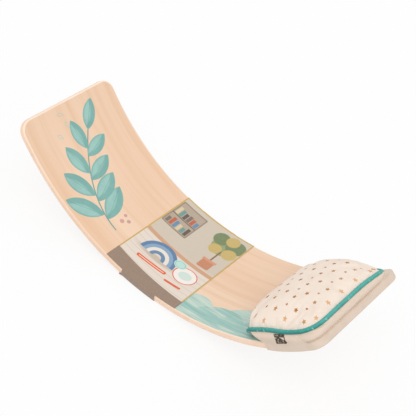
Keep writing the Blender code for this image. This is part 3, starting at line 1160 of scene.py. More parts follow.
@dataclass
class BentBoard:
    """Nine veneers glued to one arc, with a rounded-over edge and round corners."""

    veneers: int = 9
    glue_line: float = 0.0001
    rows: int = 132
    columns: int = 15
    edge_steps: int = 4
    straight_share: float = 0.88
    sharp_angle: float = math.radians(35)

    @property
    def veneer_thickness(self) -> float:
        """The thickness of one veneer."""
        return (ARC.thickness - (self.veneers - 1) * self.glue_line) / self.veneers

    def veneer_pattern(self) -> Pattern:
        """The tree that bends a flat grid to one veneer of the stack.

        Returns:
            The tree, whose inputs are the veneer's depth in the stack and the board's sizes.
        """
        straight = ARC.straight_angle * ARC.outer_radius
        sizes = {
            "Top Depth": 0.0, "Thickness": self.veneer_thickness, "Edge Round": ARC.edge_round,
            "Half Width": ARC.half_width, "Corner": ARC.corner, "Straight": straight,
            "Inner Radius": ARC.inner_radius, "Outer Radius": ARC.outer_radius,
            "Axis Height": ARC.axis_height,
        }
        pattern = Pattern("bent_veneer", sizes)
        graph = pattern.graph
        inputs = {"Size X": 2.0, "Size Y": 2.0, "Vertices X": self.rows + 1, "Vertices Y": self.columns + 1}
        flat = graph.wire("GeometryNodeMeshGrid", inputs)
        sheet = graph.wire("GeometryNodeFlipFaces", {0: flat})
        stack = graph.store(flat, "level", 0.0)
        top = None
        for step in range(1, self.edge_steps + 1):
            inputs = {"Mesh": stack, "Offset Scale": 0.0, "Individual": False}
            if top is not None:
                inputs["Selection"] = top
            extruded = graph.node("GeometryNodeExtrudeMesh", inputs, mode="FACES")
            stack, top = Wire(graph, extruded.outputs["Mesh"]), Wire(graph, extruded.outputs["Top"])
            stack = graph.store(stack, "level", step / self.edge_steps, top)
        both = graph.node("GeometryNodeJoinGeometry")
        for part in (stack, graph.store(sheet, "level", 0.0)):
            graph.put(both.inputs[0], part)
        inputs = {"Geometry": Wire(graph, both.outputs[0]), "Position": self._bent_place(pattern)}
        bent = graph.wire("GeometryNodeSetPosition", inputs)
        merged = graph.wire("GeometryNodeMergeByDistance", {"Geometry": bent, "Distance": 0.000002})
        pattern.close(merged)
        return pattern

    def _bent_place(self, pattern: Pattern) -> Wire:
        """Where a point of the flat grid goes on the arc, at its level in the veneer.

        Args:
            pattern: The tree to write in.

        Returns:
            The wire of the point's place.
        """
        graph = pattern.graph
        u, v, _ = graph.parts(graph.wire("GeometryNodeInputPosition"))
        level = graph.wire("GeometryNodeInputNamedAttribute", {"Name": "level"}, data_type="FLOAT")
        depth = pattern.input("Top Depth") + (1.0 - level) * pattern.input("Thickness")
        edge_round = pattern.input("Edge Round")
        board = pattern.input("Outer Radius") - pattern.input("Inner Radius")
        from_face = graph.math("MINIMUM", depth, board - depth)
        short = graph.math("MAXIMUM", edge_round - from_face, 0.0)
        rounding = graph.math("SQRT", graph.math("MAXIMUM", edge_round * edge_round - short * short, 0.0))
        inset = edge_round - rounding
        size = graph.math("ABSOLUTE", u)
        straight = graph.clamp(size / self.straight_share, 0.0, 1.0) * pattern.input("Straight")
        turn = graph.clamp((size - self.straight_share) / (1 - self.straight_share), 0.0, 1.0) * (math.pi / 2)
        corner = pattern.input("Corner") - inset
        along = straight + corner * graph.math("SINE", turn)
        half_width = pattern.input("Half Width") - pattern.input("Corner")
        half_width = half_width + corner * graph.math("COSINE", turn)
        y = graph.math("SINE", v * (math.pi / 2)) * half_width
        angle = along / pattern.input("Outer Radius") * graph.math("SIGN", u)
        radius = pattern.input("Inner Radius") + depth
        x = radius * graph.math("SINE", angle)
        z = pattern.input("Axis Height") - radius * graph.math("COSINE", angle)
        return graph.vector(x, y, z)

    def build(self) -> None:
        """Builds and dresses the whole stack, from the printed top face to the bottom face."""
        pattern = self.veneer_pattern()
        cross = EdgeFinish(grain=Grain.ACROSS, color=srgb(245, 211, 185))
        finishes = {
            "top_face": (PrintedWoodFinish().material("printed_face_veneer"), "face_veneer"),
            "bottom_face": (WoodFinish().material("bare_face_veneer"), "face_veneer"),
            "long": (EdgeFinish().material("long_veneer"), "long_veneer"),
            "cross": (cross.material("cross_veneer"), "cross_veneer"),
        }
        for index in range(self.veneers):
            inner = "cross" if index % 2 else "long"
            kind = {0: "top_face", self.veneers - 1: "bottom_face"}.get(index, inner)
            material, slot = finishes[kind]
            node = f"veneer_{index + 1}_{kind}"
            depth = index * (self.veneer_thickness + self.glue_line)
            piece = pattern.run(f"{node}_fine", material, Top_Depth=depth)
            piece.data.shade_smooth()
            piece.data.set_sharp_from_angle(angle=self.sharp_angle)
            finish_piece(piece, "board", slot, node)


@dataclass
class CardSleeve:
    """One card blank: a wide printed panel whose narrower straps fold under the board and overlap."""

    thickness: float = 0.0004
    clearance: float = 0.00033
    fold_radius: float = 0.0015
    lap: float = 0.00042
    panel_angles: Spot = (math.radians(-13.65), math.radians(8.95))
    strap_angles: Spot = (math.radians(-8.0), math.radians(2.7))
    flap_end: float = 0.014
    lap_step: Spot = (0.022, 0.016)
    lap_end: float = -0.014
    across_steps: int = 24
    fold_steps: int = 6

    def fold(self, side: int, centre_rise: float, start: float, end: float) -> list[Spot]:
        """(y, rise) round one fold, at a side of the board and two angles from level.

        Args:
            side: -1 on the near side, 1 on the far side.
            centre_rise: The rise of the fold's middle.
            start: The first angle, in degrees.
            end: The last angle, in degrees.

        Returns:
            The points, in order.
        """
        centre_y = ARC.half_width + self.clearance - self.fold_radius
        turns = [math.radians(angle) for angle in spaced(start, end, self.fold_steps)]
        return [
            (side * (centre_y + self.fold_radius * math.cos(t)), centre_rise + self.fold_radius * math.sin(t))
            for t in turns
        ]

    def section(self) -> list[Spot]:
        """(y, rise) of the card's inner face, from the glue flap round to the lap that covers it.

        Returns:
            The points, in order.
        """
        high = self.clearance - self.fold_radius
        low = self.fold_radius - self.clearance - ARC.thickness
        under = low - self.fold_radius
        side_y = ARC.half_width - self.fold_radius
        section = [(y, under) for y in spaced(self.flap_end, -side_y, 6)[:-1]]
        section += self.fold(-1, low, -90, 0) + self.fold(-1, high, 0, 90)
        section += [(y, self.clearance) for y in spaced(-side_y, side_y, self.across_steps)[1:-1]]
        section += self.fold(1, high, 90, 0) + self.fold(1, low, 0, -90)
        section += [(y, under) for y in spaced(side_y, self.lap_step[0], 5)[1:]]
        section += [(y, under - self.lap) for y in spaced(self.lap_step[1], self.lap_end, 3)]
        return section

    def build(self) -> None:
        """Builds and dresses the sleeve."""
        low, high = self.panel_angles
        start, end = self.strap_angles
        rows_of_angle = sorted({*spaced(low, start, 6), *spaced(start, end, 12), *spaced(end, high, 8)})
        section = self.section()
        on_top = [index for index, (_, rise) in enumerate(section) if rise >= self.clearance - 1e-6]
        first, last = on_top[0], on_top[-1]

        def present(row: int, column: int) -> bool:
            """Whether the card covers this cell."""
            middle = (rows_of_angle[row] + rows_of_angle[row + 1]) / 2
            return first <= column < last or start < middle < end

        rows = [[ARC.place(angle, y, rise) for y, rise in section] for angle in rows_of_angle]
        lengths = [0.0]
        for (y0, r0), (y1, r1) in zip(section, section[1:]):
            lengths.append(lengths[-1] + math.hypot(y1 - y0, r1 - r0))
        flats = [[(angle * ARC.inner_radius, length) for length in lengths] for angle in rows_of_angle]
        mesh = sheet_mesh("card_sleeve", rows, flats, present=present)
        printed_side = CardFinish().material("printed_card")
        raw = RawCardFinish().material("raw_card")
        piece = add_piece("card_sleeve", mesh, printed_side, raw)
        thicken(piece, self.thickness, offset=1.0, inside=1, even=True)
        piece.data.set_sharp_from_angle(angle=math.radians(50))
        finish_piece(piece, "sleeve", "printed_card", "printed_card_sleeve")


def smooth(value: float, start: float, end: float) -> float:
    """A smooth climb from 0 to 1 while value goes from start to end."""
    share = min(1.0, max(0.0, (value - start) / (end - start)))
    return share * share * (3 - 2 * share)


@dataclass(frozen=True)
class PillowPlan:
    """The pillow's outline round its seam, and the rise of the seam and of the crown."""

    angle: float = math.radians(40.8)
    half_length: float = 0.109
    half_width: float = 0.147
    inner_corner: float = 0.040
    near_corner: float = 0.043
    far_corner: float = 0.062
    waist: float = 0.0008
    seam_rise: float = 0.0265
    tucked_rise: float = 0.0100
    inner_tuck: Spot = (0.064, 0.108)
    far_tuck: Spot = (0.010, 0.120)
    far_curl: Spot = (0.088, 0.108)
    far_shares: Spot = (0.55, 0.45)
    near_lift: float = 0.0066
    lift_middle: float = -0.026
    lift_length: float = 0.046
    lift_across: Spot = (0.060, 0.140)
    near_dip: float = 0.0012
    dip_along: Spot = (0.060, 0.100)
    dip_across: Spot = (0.090, 0.130)
    drawn_in: float = 0.0050
    crown: float = 0.0427
    crown_skew: float = -0.238
    crown_base: float = 0.0262
    crown_lean: float = 0.004
    dome_along: Spot = (2.18, 0.74)
    dome_across: Spot = (4.3, 1.22)
    far_slump: float = 0.61
    slump_reach: Spot = (0.42, 1.00)
    slump_across: Spot = (-0.10, 0.80)
    far_fall: float = 0.70
    fall_reach: Spot = (0.0, 0.6)
    fall_across: Spot = (0.68, 0.90)
    corner_along: Spot = (0.25, 0.95)
    corner_reach: Spot = (0.50, 0.98)
    corner_drop: float = 0.0100
    corner_draw: float = 0.0040
    far_draw: float = 0.0070
    edge_band: float = 0.13
    overhang: float = 0.0030
    overhang_band: float = 1.7
    tucked_bulge: float = 1.3
    far_bulge: float = 0.8
    past_turn: Spot = (-0.15, 0.35)
    past_reach: Spot = (0.60, 0.95)
    dish_reach: Spot = (0.75, 1.0)
    dish_low: float = 0.0014
    dish_curl: float = 0.20
    middle_rise: float = 0.027

    @property
    def seam_radius(self) -> float:
        """The radius at which the pillow's lengths are measured."""
        return ARC.inner_radius - self.middle_rise

    def corner(self, end_side: bool, far_side: bool) -> float:
        """The radius of one corner of the outline."""
        if not end_side:
            return self.inner_corner
        return self.far_corner if far_side else self.near_corner

    def spot(self, u: float, v: float, grow: float = 0.0) -> Spot:
        """Where a point of the square from -1 to 1 lies in the outline.

        Squares round the middle become rectangles whose corners are round at the seam.

        Args:
            u: From -1 at the pillow's inner side to 1 at the board's end.
            v: From -1 at the near side to 1 at the far side.
            grow: How far the outline is moved out.

        Returns:
            The length along the board from the pillow's middle, and the Y.
        """
        share = max(abs(u), abs(v))
        if share < 1e-9:
            return 0.0, 0.0
        length, width = (self.half_length + grow) * share, (self.half_width + grow) * share
        corner = (self.corner(u > 0, v > 0) + grow) * share
        if abs(u) >= abs(v):
            along, y = self._on_side(v / share, length, width, corner)
            along = math.copysign(along, u)
        else:
            y, along = self._on_side(u / share, width, length, corner)
            y = math.copysign(y, v)
        pull = self.waist * share
        pulled_y = pull * (1 - (along / length) ** 2) * y / width
        pulled_along = pull * (1 - (y / width) ** 2) * along / length
        return along - pulled_along, y - pulled_y

    def _on_side(self, share: float, reach: float, half: float, corner: float) -> Spot:
        """A point on one side of a rounded rectangle, with half of each corner to the side.

        Args:
            share: From -1 to 1 along the side.
            reach: The side's distance from the middle.
            half: Half the length of the side.
            corner: The corner's radius.

        Returns:
            The distance from the middle, and the place along the side.
        """
        straight = half - corner
        whole = straight + corner * math.pi / 4
        turn = (abs(share) * whole - straight) / corner
        if turn <= 0:
            return reach, share * whole
        along = straight + corner * math.sin(turn)
        return reach - corner + corner * math.cos(turn), math.copysign(along, share)

    def tuck(self, along: float, y: float) -> float:
        """How far the seam is tucked down at a place: 0 on the near and end sides, 1 on the others."""
        inner = smooth(-along, *self.inner_tuck)
        far = self.far_shares[0] * smooth(y, *self.far_tuck) + self.far_shares[1] * smooth(y, *self.far_curl)
        return 1 - (1 - inner) * (1 - far)

    def seam(self, u: float, v: float) -> float:
        """The seam's rise, highest near the middle of the near side.

        Args:
            u: The place between the inner side and the end, as for spot.
            v: The place between the near side and the far side.

        Returns:
            The rise.
        """
        along, y = self.spot(u, v)
        swell = math.exp(-(((along - self.lift_middle) / self.lift_length) ** 2))
        lift = self.near_lift * swell * smooth(-y, *self.lift_across)
        lift -= self.near_dip * smooth(along, *self.dip_along) * smooth(-y, *self.dip_across)
        tuck = self.tuck(along, y)
        return (self.seam_rise + lift) * (1 - tuck) + self.tucked_rise * tuck

    def crown_rise(self, u: float, v: float) -> float:
        """The rise of the crowned top, which climbs steeply from the seam and then rounds over.

        Args:
            u: The place between the inner side and the end, as for spot.
            v: The place between the near side and the far side.

        Returns:
            The rise.
        """
        (power_u, round_u), (power_v, round_v) = self.dome_along, self.dome_across
        dome = max(0.0, 1 - abs(u) ** power_u) ** round_u * max(0.0, 1 - abs(v) ** power_v) ** round_v
        dome *= 1 - self.far_slump * smooth(u, *self.slump_reach) * smooth(v, *self.slump_across)
        dome *= 1 - self.far_fall * smooth(u, *self.fall_reach) * smooth(v, *self.fall_across)
        top = self.crown_base - self.crown_lean * v + self.crown * (1 + self.crown_skew * u) * dome
        top -= self.corner_drop * self.to_far_corner(u, v)
        climb = 1 - (1 - min(1.0, (1 - max(abs(u), abs(v))) / self.edge_band)) ** 2
        seam = self.seam(u, v)
        return seam + (max(top, seam) - seam) * climb

    def to_far_corner(self, u: float, v: float) -> float:
        """0 over most of the pillow, and 1 at the board's far corner, where there is little filling."""
        return smooth(u, *self.corner_along) * smooth(v, *self.corner_reach)

    def overhang_at(self, u: float, v: float) -> float:
        """How far the cloth bulges out past the seam, just above it.

        Args:
            u: The place between the inner side and the end, as for spot.
            v: The place between the near side and the far side.

        Returns:
            The distance, with the seam's own move in it.
        """
        band = min(1.0, (1 - max(abs(u), abs(v))) / (self.overhang_band * self.edge_band))
        tuck = self.tuck(*self.spot(u, v))
        fuller = 1 + self.tucked_bulge * tuck + self.far_bulge * self.past_corner(u, v)
        bulge = self.overhang * fuller * math.sin(math.pi * band)
        return bulge + self.seam_grow(u, v) * (1 - band) ** 2

    def seam_grow(self, u: float, v: float) -> float:
        """How far the seam is moved out, which is less than nothing where it is tucked under."""
        draw = self.drawn_in * self.tuck(*self.spot(u, v)) + self.corner_draw * self.to_far_corner(u, v) ** 3
        return -draw - self.far_draw * self.past_corner(u, v)

    def past_corner(self, u: float, v: float) -> float:
        """1 on the far and inner sides, where the crown hangs over the seam, and 0 elsewhere."""
        return smooth(v - u, *self.past_turn) * smooth(max(v, -u), *self.past_reach)

    def dish_grow(self, u: float, v: float) -> float:
        """How far the underside is moved out, which is the seam's own move at the seam."""
        return self.seam_grow(u, v) * smooth(max(abs(u), abs(v)), *self.dish_reach)

    def dish_rise(self, u: float, v: float) -> float:
        """The rise of the underside, which curls from the seam down to the wood."""
        curl = max(0.0, (max(abs(u), abs(v)) - (1 - self.dish_curl)) / self.dish_curl)
        return self.dish_low + (self.seam(u, v) - self.dish_low) * (1 - math.sqrt(max(0.0, 1 - curl * curl)))

    def place(self, u: float, v: float, rise: float, grow: float = 0.0) -> Vector:
        """The point over a spot of the outline, at a rise."""
        along, y = self.spot(u, v, grow)
        return ARC.place(self.angle + along / self.seam_radius, y, rise)

    def rim(self, step: float) -> list[Spot]:
        """(u, v) round the seam about every step, from the middle of the inner side.

        Args:
            step: The length between two points.

        Returns:
            The points, in order.
        """
        corners = [(-1, 0), (-1, -1), (1, -1), (1, 1), (-1, 1), (-1, 0)]
        walk = []
        for (u0, v0), (u1, v1) in zip(corners, corners[1:]):
            length = math.hypot((u1 - u0) * self.half_length, (v1 - v0) * self.half_width)
            shares = spaced(0, 1, max(1, round(length / step)))[:-1]
            walk += [(u0 + (u1 - u0) * share, v0 + (v1 - v0) * share) for share in shares]
        return walk


@dataclass
class ClothTrial:
    """A short cloth simulation that fills a closed cushion out against its seams."""

    pressure: float = 4.0
    slack: float = 0.03
    frames: int = 20
    cap: float = 0.006
    stiffness: float = 15.0

    def run(self, piece: Piece, pins: Sequence[float], give: Sequence[float]) -> None:
        """Simulates a cushion and keeps the result in its mesh.

        Args:
            piece: The cushion, a closed form.
            pins: How firmly each point is held, from 0 to 1.
            give: The share of the cap that each point may move.
        """
        start = np.array([vert.co for vert in piece.data.vertices])
        group = piece.vertex_groups.new(name="pins")
        for index, weight in enumerate(pins):
            if weight > 0:
                group.add([index], weight, "REPLACE")
        cloth = piece.modifiers.new("cloth", "CLOTH")
        settings = cloth.settings
        settings.quality = 6
        settings.mass = 0.12
        settings.tension_stiffness = settings.compression_stiffness = self.stiffness
        settings.shear_stiffness = 5.0
        settings.bending_stiffness = 0.08
        settings.shrink_min = -self.slack
        settings.use_pressure = True
        settings.uniform_pressure_force = self.pressure
        settings.vertex_group_mass = "pins"
        settings.effector_weights.gravity = 0.0
        cloth.point_cache.frame_start, cloth.point_cache.frame_end = 1, self.frames
        scene = bpy.context.scene
        for number in range(1, self.frames + 1):
            scene.frame_set(number)
        moved = evaluated_mesh(piece)
        end = np.array([vert.co for vert in moved.vertices])
        scene.frame_set(1)
        piece.modifiers.clear()
        piece.vertex_groups.clear()
        bpy.data.meshes.remove(moved)
        shift = end - start
        length = np.linalg.norm(shift, axis=1, keepdims=True)
        log.info("%s moved up to %.1f mm", piece.name, float(length.max()) * 1000)
        shift *= np.minimum(1.0, self.cap * np.array(give)[:, None] / np.maximum(length, 1e-9))
        piece.data.vertices.foreach_set("co", (start + shift).ravel())
        piece.data.update()


@dataclass
class Cushion:
    """The stuffed part of the pillow: a starred top, a plain underside and the fibre between."""

    plan: PillowPlan = PillowPlan()
    cloth: float = 0.0009
    steps_along: int = 62
    steps_across: int = 82
    pucker: float = 0.0011
    pucker_length: float = 0.011
    pucker_reach: Spot = (0.016, 0.014)
    pucker_start: float = 0.004
    seed: int = 7
    air: float = 0.0006

    def grid_shares(self, steps: int) -> list[float]:
        """Shares from -1 to 1 that lie closer together towards the seam."""
        return [0.55 * share + 0.45 * math.sin(share * math.pi / 2) for share in spaced(-1, 1, steps)]

    def build_form(self) -> Piece:
        """The whole cushion as one closed form, filled out by the cloth simulation.

        Returns:
            The form, whose material slots are 0 on the top and 1 on the underside.
        """
        us, vs = self.grid_shares(self.steps_along), self.grid_shares(self.steps_across)
        made = bmesh.new()
        flat_map = made.loops.layers.uv.new(FLAT_MAP)
        sides = []
        for rise, bulge in (
            (self.plan.crown_rise, self.plan.overhang_at),
            (self.plan.dish_rise, self.plan.dish_grow),
        ):
            verts = {}
            for i, u in enumerate(us):
                for j, v in enumerate(vs):
                    if not (sides and self._on_rim(i, j)):
                        verts[i, j] = made.verts.new(self.plan.place(u, v, rise(u, v), bulge(u, v)))
            sides.append(verts)
        top, under = sides
        under.update({spot: vert for spot, vert in top.items() if self._on_rim(*spot)})
        for slot, verts in enumerate(sides):
            for i in range(self.steps_along):
                for j in range(self.steps_across):
                    corners = [(i, j), (i + 1, j), (i + 1, j + 1), (i, j + 1)]
                    if slot:
                        corners.reverse()
                    face = made.faces.new([verts[corner] for corner in corners])
                    face.material_index = slot
                    face.smooth = True
                    for loop, (a, b) in zip(face.loops, corners):
                        loop[flat_map].uv = self.plan.spot(us[a], vs[b])
        made.verts.index_update()
        pins = [0.0] * len(made.verts)
        give = [1.0] * len(made.verts)
        for (i, j), vert in top.items():
            give[vert.index] = 1 - 0.9 * self.plan.to_far_corner(us[i], vs[j])
        for vert in under.values():
            pins[vert.index] = 1.0
        piece = add_piece("cushion_form", mesh_from(made, "cushion_form"))
        face_outwards(piece, (-1, 0, 0.5))
        ClothTrial().run(piece, pins, give)
        self.sew_puckers(piece)
        subdivide(piece)
        return piece

    def _on_rim(self, i: int, j: int) -> bool:
        """Whether a grid point lies on the seam."""
        return i in (0, self.steps_along) or j in (0, self.steps_across)

    def sew_puckers(self, piece: Piece) -> None:
        """Draws short uneven gathers into the cloth where the seam holds it back.

        Args:
            piece: The cushion's whole form.
        """
        mesh = piece.data
        spots = {}
        for loop, uv in zip(mesh.loops, mesh.uv_layers[FLAT_MAP].data):
            spots[loop.vertex_index] = uv.uv
        for vert in mesh.vertices:
            along, y = spots[vert.index]
            to_side = self.plan.half_width - abs(y)
            to_end = self.plan.half_length - abs(along)
            from_seam = min(to_side, to_end)
            if from_seam < 0.0005:
                continue
            walk = along if to_side < to_end else y + 0.4
            reach = self.pucker_reach[0] + self.pucker_reach[1] * self.swell(walk, 34.0)
            depth = smooth(from_seam, 0.0, self.pucker_start) * math.exp(-from_seam / reach)
            gather = self.swell(walk + 0.15 * from_seam, 1 / self.pucker_length)
            vert.co += vert.normal * (self.pucker * depth * (gather - 0.25))

    def swell(self, place: float, scale: float) -> float:
        """Smooth noise from 0 to 1 along a line, with about scale swells to a metre."""
        spot = Vector((place * scale + self.seed * 17.3, self.seed * 3.1, scale * 0.01))
        return 0.5 + 0.5 * noise.noise(spot)

    def build(self) -> None:
        """Builds and dresses the two panels and the fibre."""
        form = self.build_form()
        top = self.panel("pillow_top", form, 0, StarredClothFinish().material("starred_cloth"))
        finish_piece(top, "pillow", "starred_cloth", "pillow_top_panel")
        underside = self.panel("pillow_underside", form, 1, PLAIN_CLOTH.material("plain_cloth"))
        finish_piece(underside, "pillow", "plain_cloth", "pillow_underside_panel")
        fibre = self.build_fibre(form)
        finish_piece(fibre, "pillow", "fibre_filling", "pillow_filling")
        bpy.data.objects.remove(form)

    def panel(self, name: str, form: Piece, slot: int, material: bpy.types.Material) -> Piece:
        """Cuts one panel out of the form and gives it the cloth's thickness.

        Args:
            name: The panel's name.
            form: The whole cushion.
            slot: The form's material slot that marks the panel.
            material: The panel's material.

        Returns:
            The panel.
        """
        made = bmesh.new()
        made.from_mesh(form.data)
        others = [face for face in made.faces if face.material_index != slot]
        bmesh.ops.delete(made, geom=others, context="FACES")
        for face in made.faces:
            face.material_index = 0
        piece = add_piece(name, mesh_from(made, name), material)
        thicken(piece, self.cloth)
        return piece

    def build_fibre(self, form: Piece) -> Piece:
        """The fibre, which is the form drawn in by the cloth's thickness and a little air.

        Args:
            form: The whole cushion.

        Returns:
            The fibre.
        """
        mesh = form.data.copy()
        inset = self.cloth + self.air
        moved = [vert.co - vert.normal * inset for vert in mesh.vertices]
        for vert, place in zip(mesh.vertices, moved):
            vert.co = place
        for polygon in mesh.polygons:
            polygon.material_index = 0
        mesh.update()
        return add_piece("pillow_fibre", mesh, FibreFinish().material("fibre"))


@dataclass
class Piping:
    """A cord covered in teal cloth, sewn in all round the pillow's seam."""

    plan: PillowPlan = PillowPlan()
    radius: float = 0.0049
    offset: float = 0.0048
    fold_depth: float = 0.0008
    fold_scale: float = 150.0
    sides: int = 22
    step: float = 0.0022
    lift: float = 0.0004
    tucked_draw: float = 0.0030

    def path(self) -> bpy.types.Curve:
        """The closed curve that the cord follows.

        Returns:
            The curve, as one closed run of short straight lengths.
        """
        curve = bpy.data.curves.new("piping_path", "CURVE")
        curve.dimensions = "3D"
        points = []
        for u, v in self.plan.rim(self.step):
            out = self.offset + self.plan.seam_grow(u, v)
            out -= self.tucked_draw * self.plan.tuck(*self.plan.spot(u, v))
            points.append(self.plan.place(u, v, self.plan.seam(u, v) + self.lift, out))
        spline = curve.splines.new("POLY")
        spline.points.add(len(points) - 1)
        for slot, point in zip(spline.points, points):
            slot.co = (*point, 1)
        spline.use_cyclic_u = True
        return curve

    def pattern(self) -> Pattern:
        """The tree that runs a cord, with slack folds in its cloth, along a path.

        Returns:
            The tree, whose inputs are the cord's radius, its folds and its number of sides.
        """
        sizes = {"Radius": self.radius, "Fold Depth": self.fold_depth, "Fold Scale": self.fold_scale}
        pattern = Pattern("covered_cord", {**sizes, "Sides": self.sides})
        graph = pattern.graph
        inputs = {"Resolution": pattern.input("Sides"), "Radius": pattern.input("Radius")}
        circle = graph.wire("GeometryNodeCurvePrimitiveCircle", inputs, mode="RADIUS")
        length = graph.wire("GeometryNodeSplineParameter", output="Length")
        ring = graph.store(circle, "around", length)
        path = graph.store(pattern.input("Geometry"), "length", length)
        inputs = {"Curve": path, "Profile Curve": ring, "Fill Caps": False}
        tube = graph.wire("GeometryNodeCurveToMesh", inputs)
        place = graph.wire("GeometryNodeInputPosition")
        inputs = {"Vector": place, "Scale": pattern.input("Fold Scale"), "Detail": 2.0}
        folds = graph.wire("ShaderNodeTexNoise", inputs)
        depth = (folds - 0.5) * pattern.input("Fold Depth")
        inputs = {0: graph.wire("GeometryNodeInputNormal"), "Scale": depth}
        push = graph.wire("ShaderNodeVectorMath", inputs, operation="SCALE")
        rumpled = graph.wire("GeometryNodeSetPosition", {"Geometry": tube, "Offset": push})
        pattern.close(graph.wire("GeometryNodeSetShadeSmooth", {"Geometry": rumpled}))
        return pattern

    def build(self) -> None:
        """Builds and dresses the piping."""
        material = PipingFinish().material("teal_cloth")
        piece = self.pattern().run("pillow_teal_piping", material, self.path())
        attributes_to_flat(piece, "around", "length", math.tau * self.radius)
        store_upward(piece)
        finish_piece(piece, "pillow", "teal_cloth", "pillow_piping")


@dataclass(frozen=True)
class Crease:
    """A groove that the cloth is drawn into, from one place on the pocket's wall to another.

    A place is the length walked along the board's end from the near mouth, and a rise.
    """

    start: Spot
    end: Spot
    depth: float
    width: float

    def depth_at(self, walked: float, rise: float) -> float:
        """How deep the groove is at a place.

        Args:
            walked: The length walked from the near mouth.
            rise: The rise above the board's top face.

        Returns:
            The depth.
        """
        across, up = self.end[0] - self.start[0], self.end[1] - self.start[1]
        x, y = walked - self.start[0], rise - self.start[1]
        share = min(1.0, max(0.0, (x * across + y * up) / (across * across + up * up)))
        gap = math.hypot(x - share * across, y - share * up)
        return self.depth * math.exp(-((gap / self.width) ** 2)) * (0.35 + 0.65 * math.sin(math.pi * share))


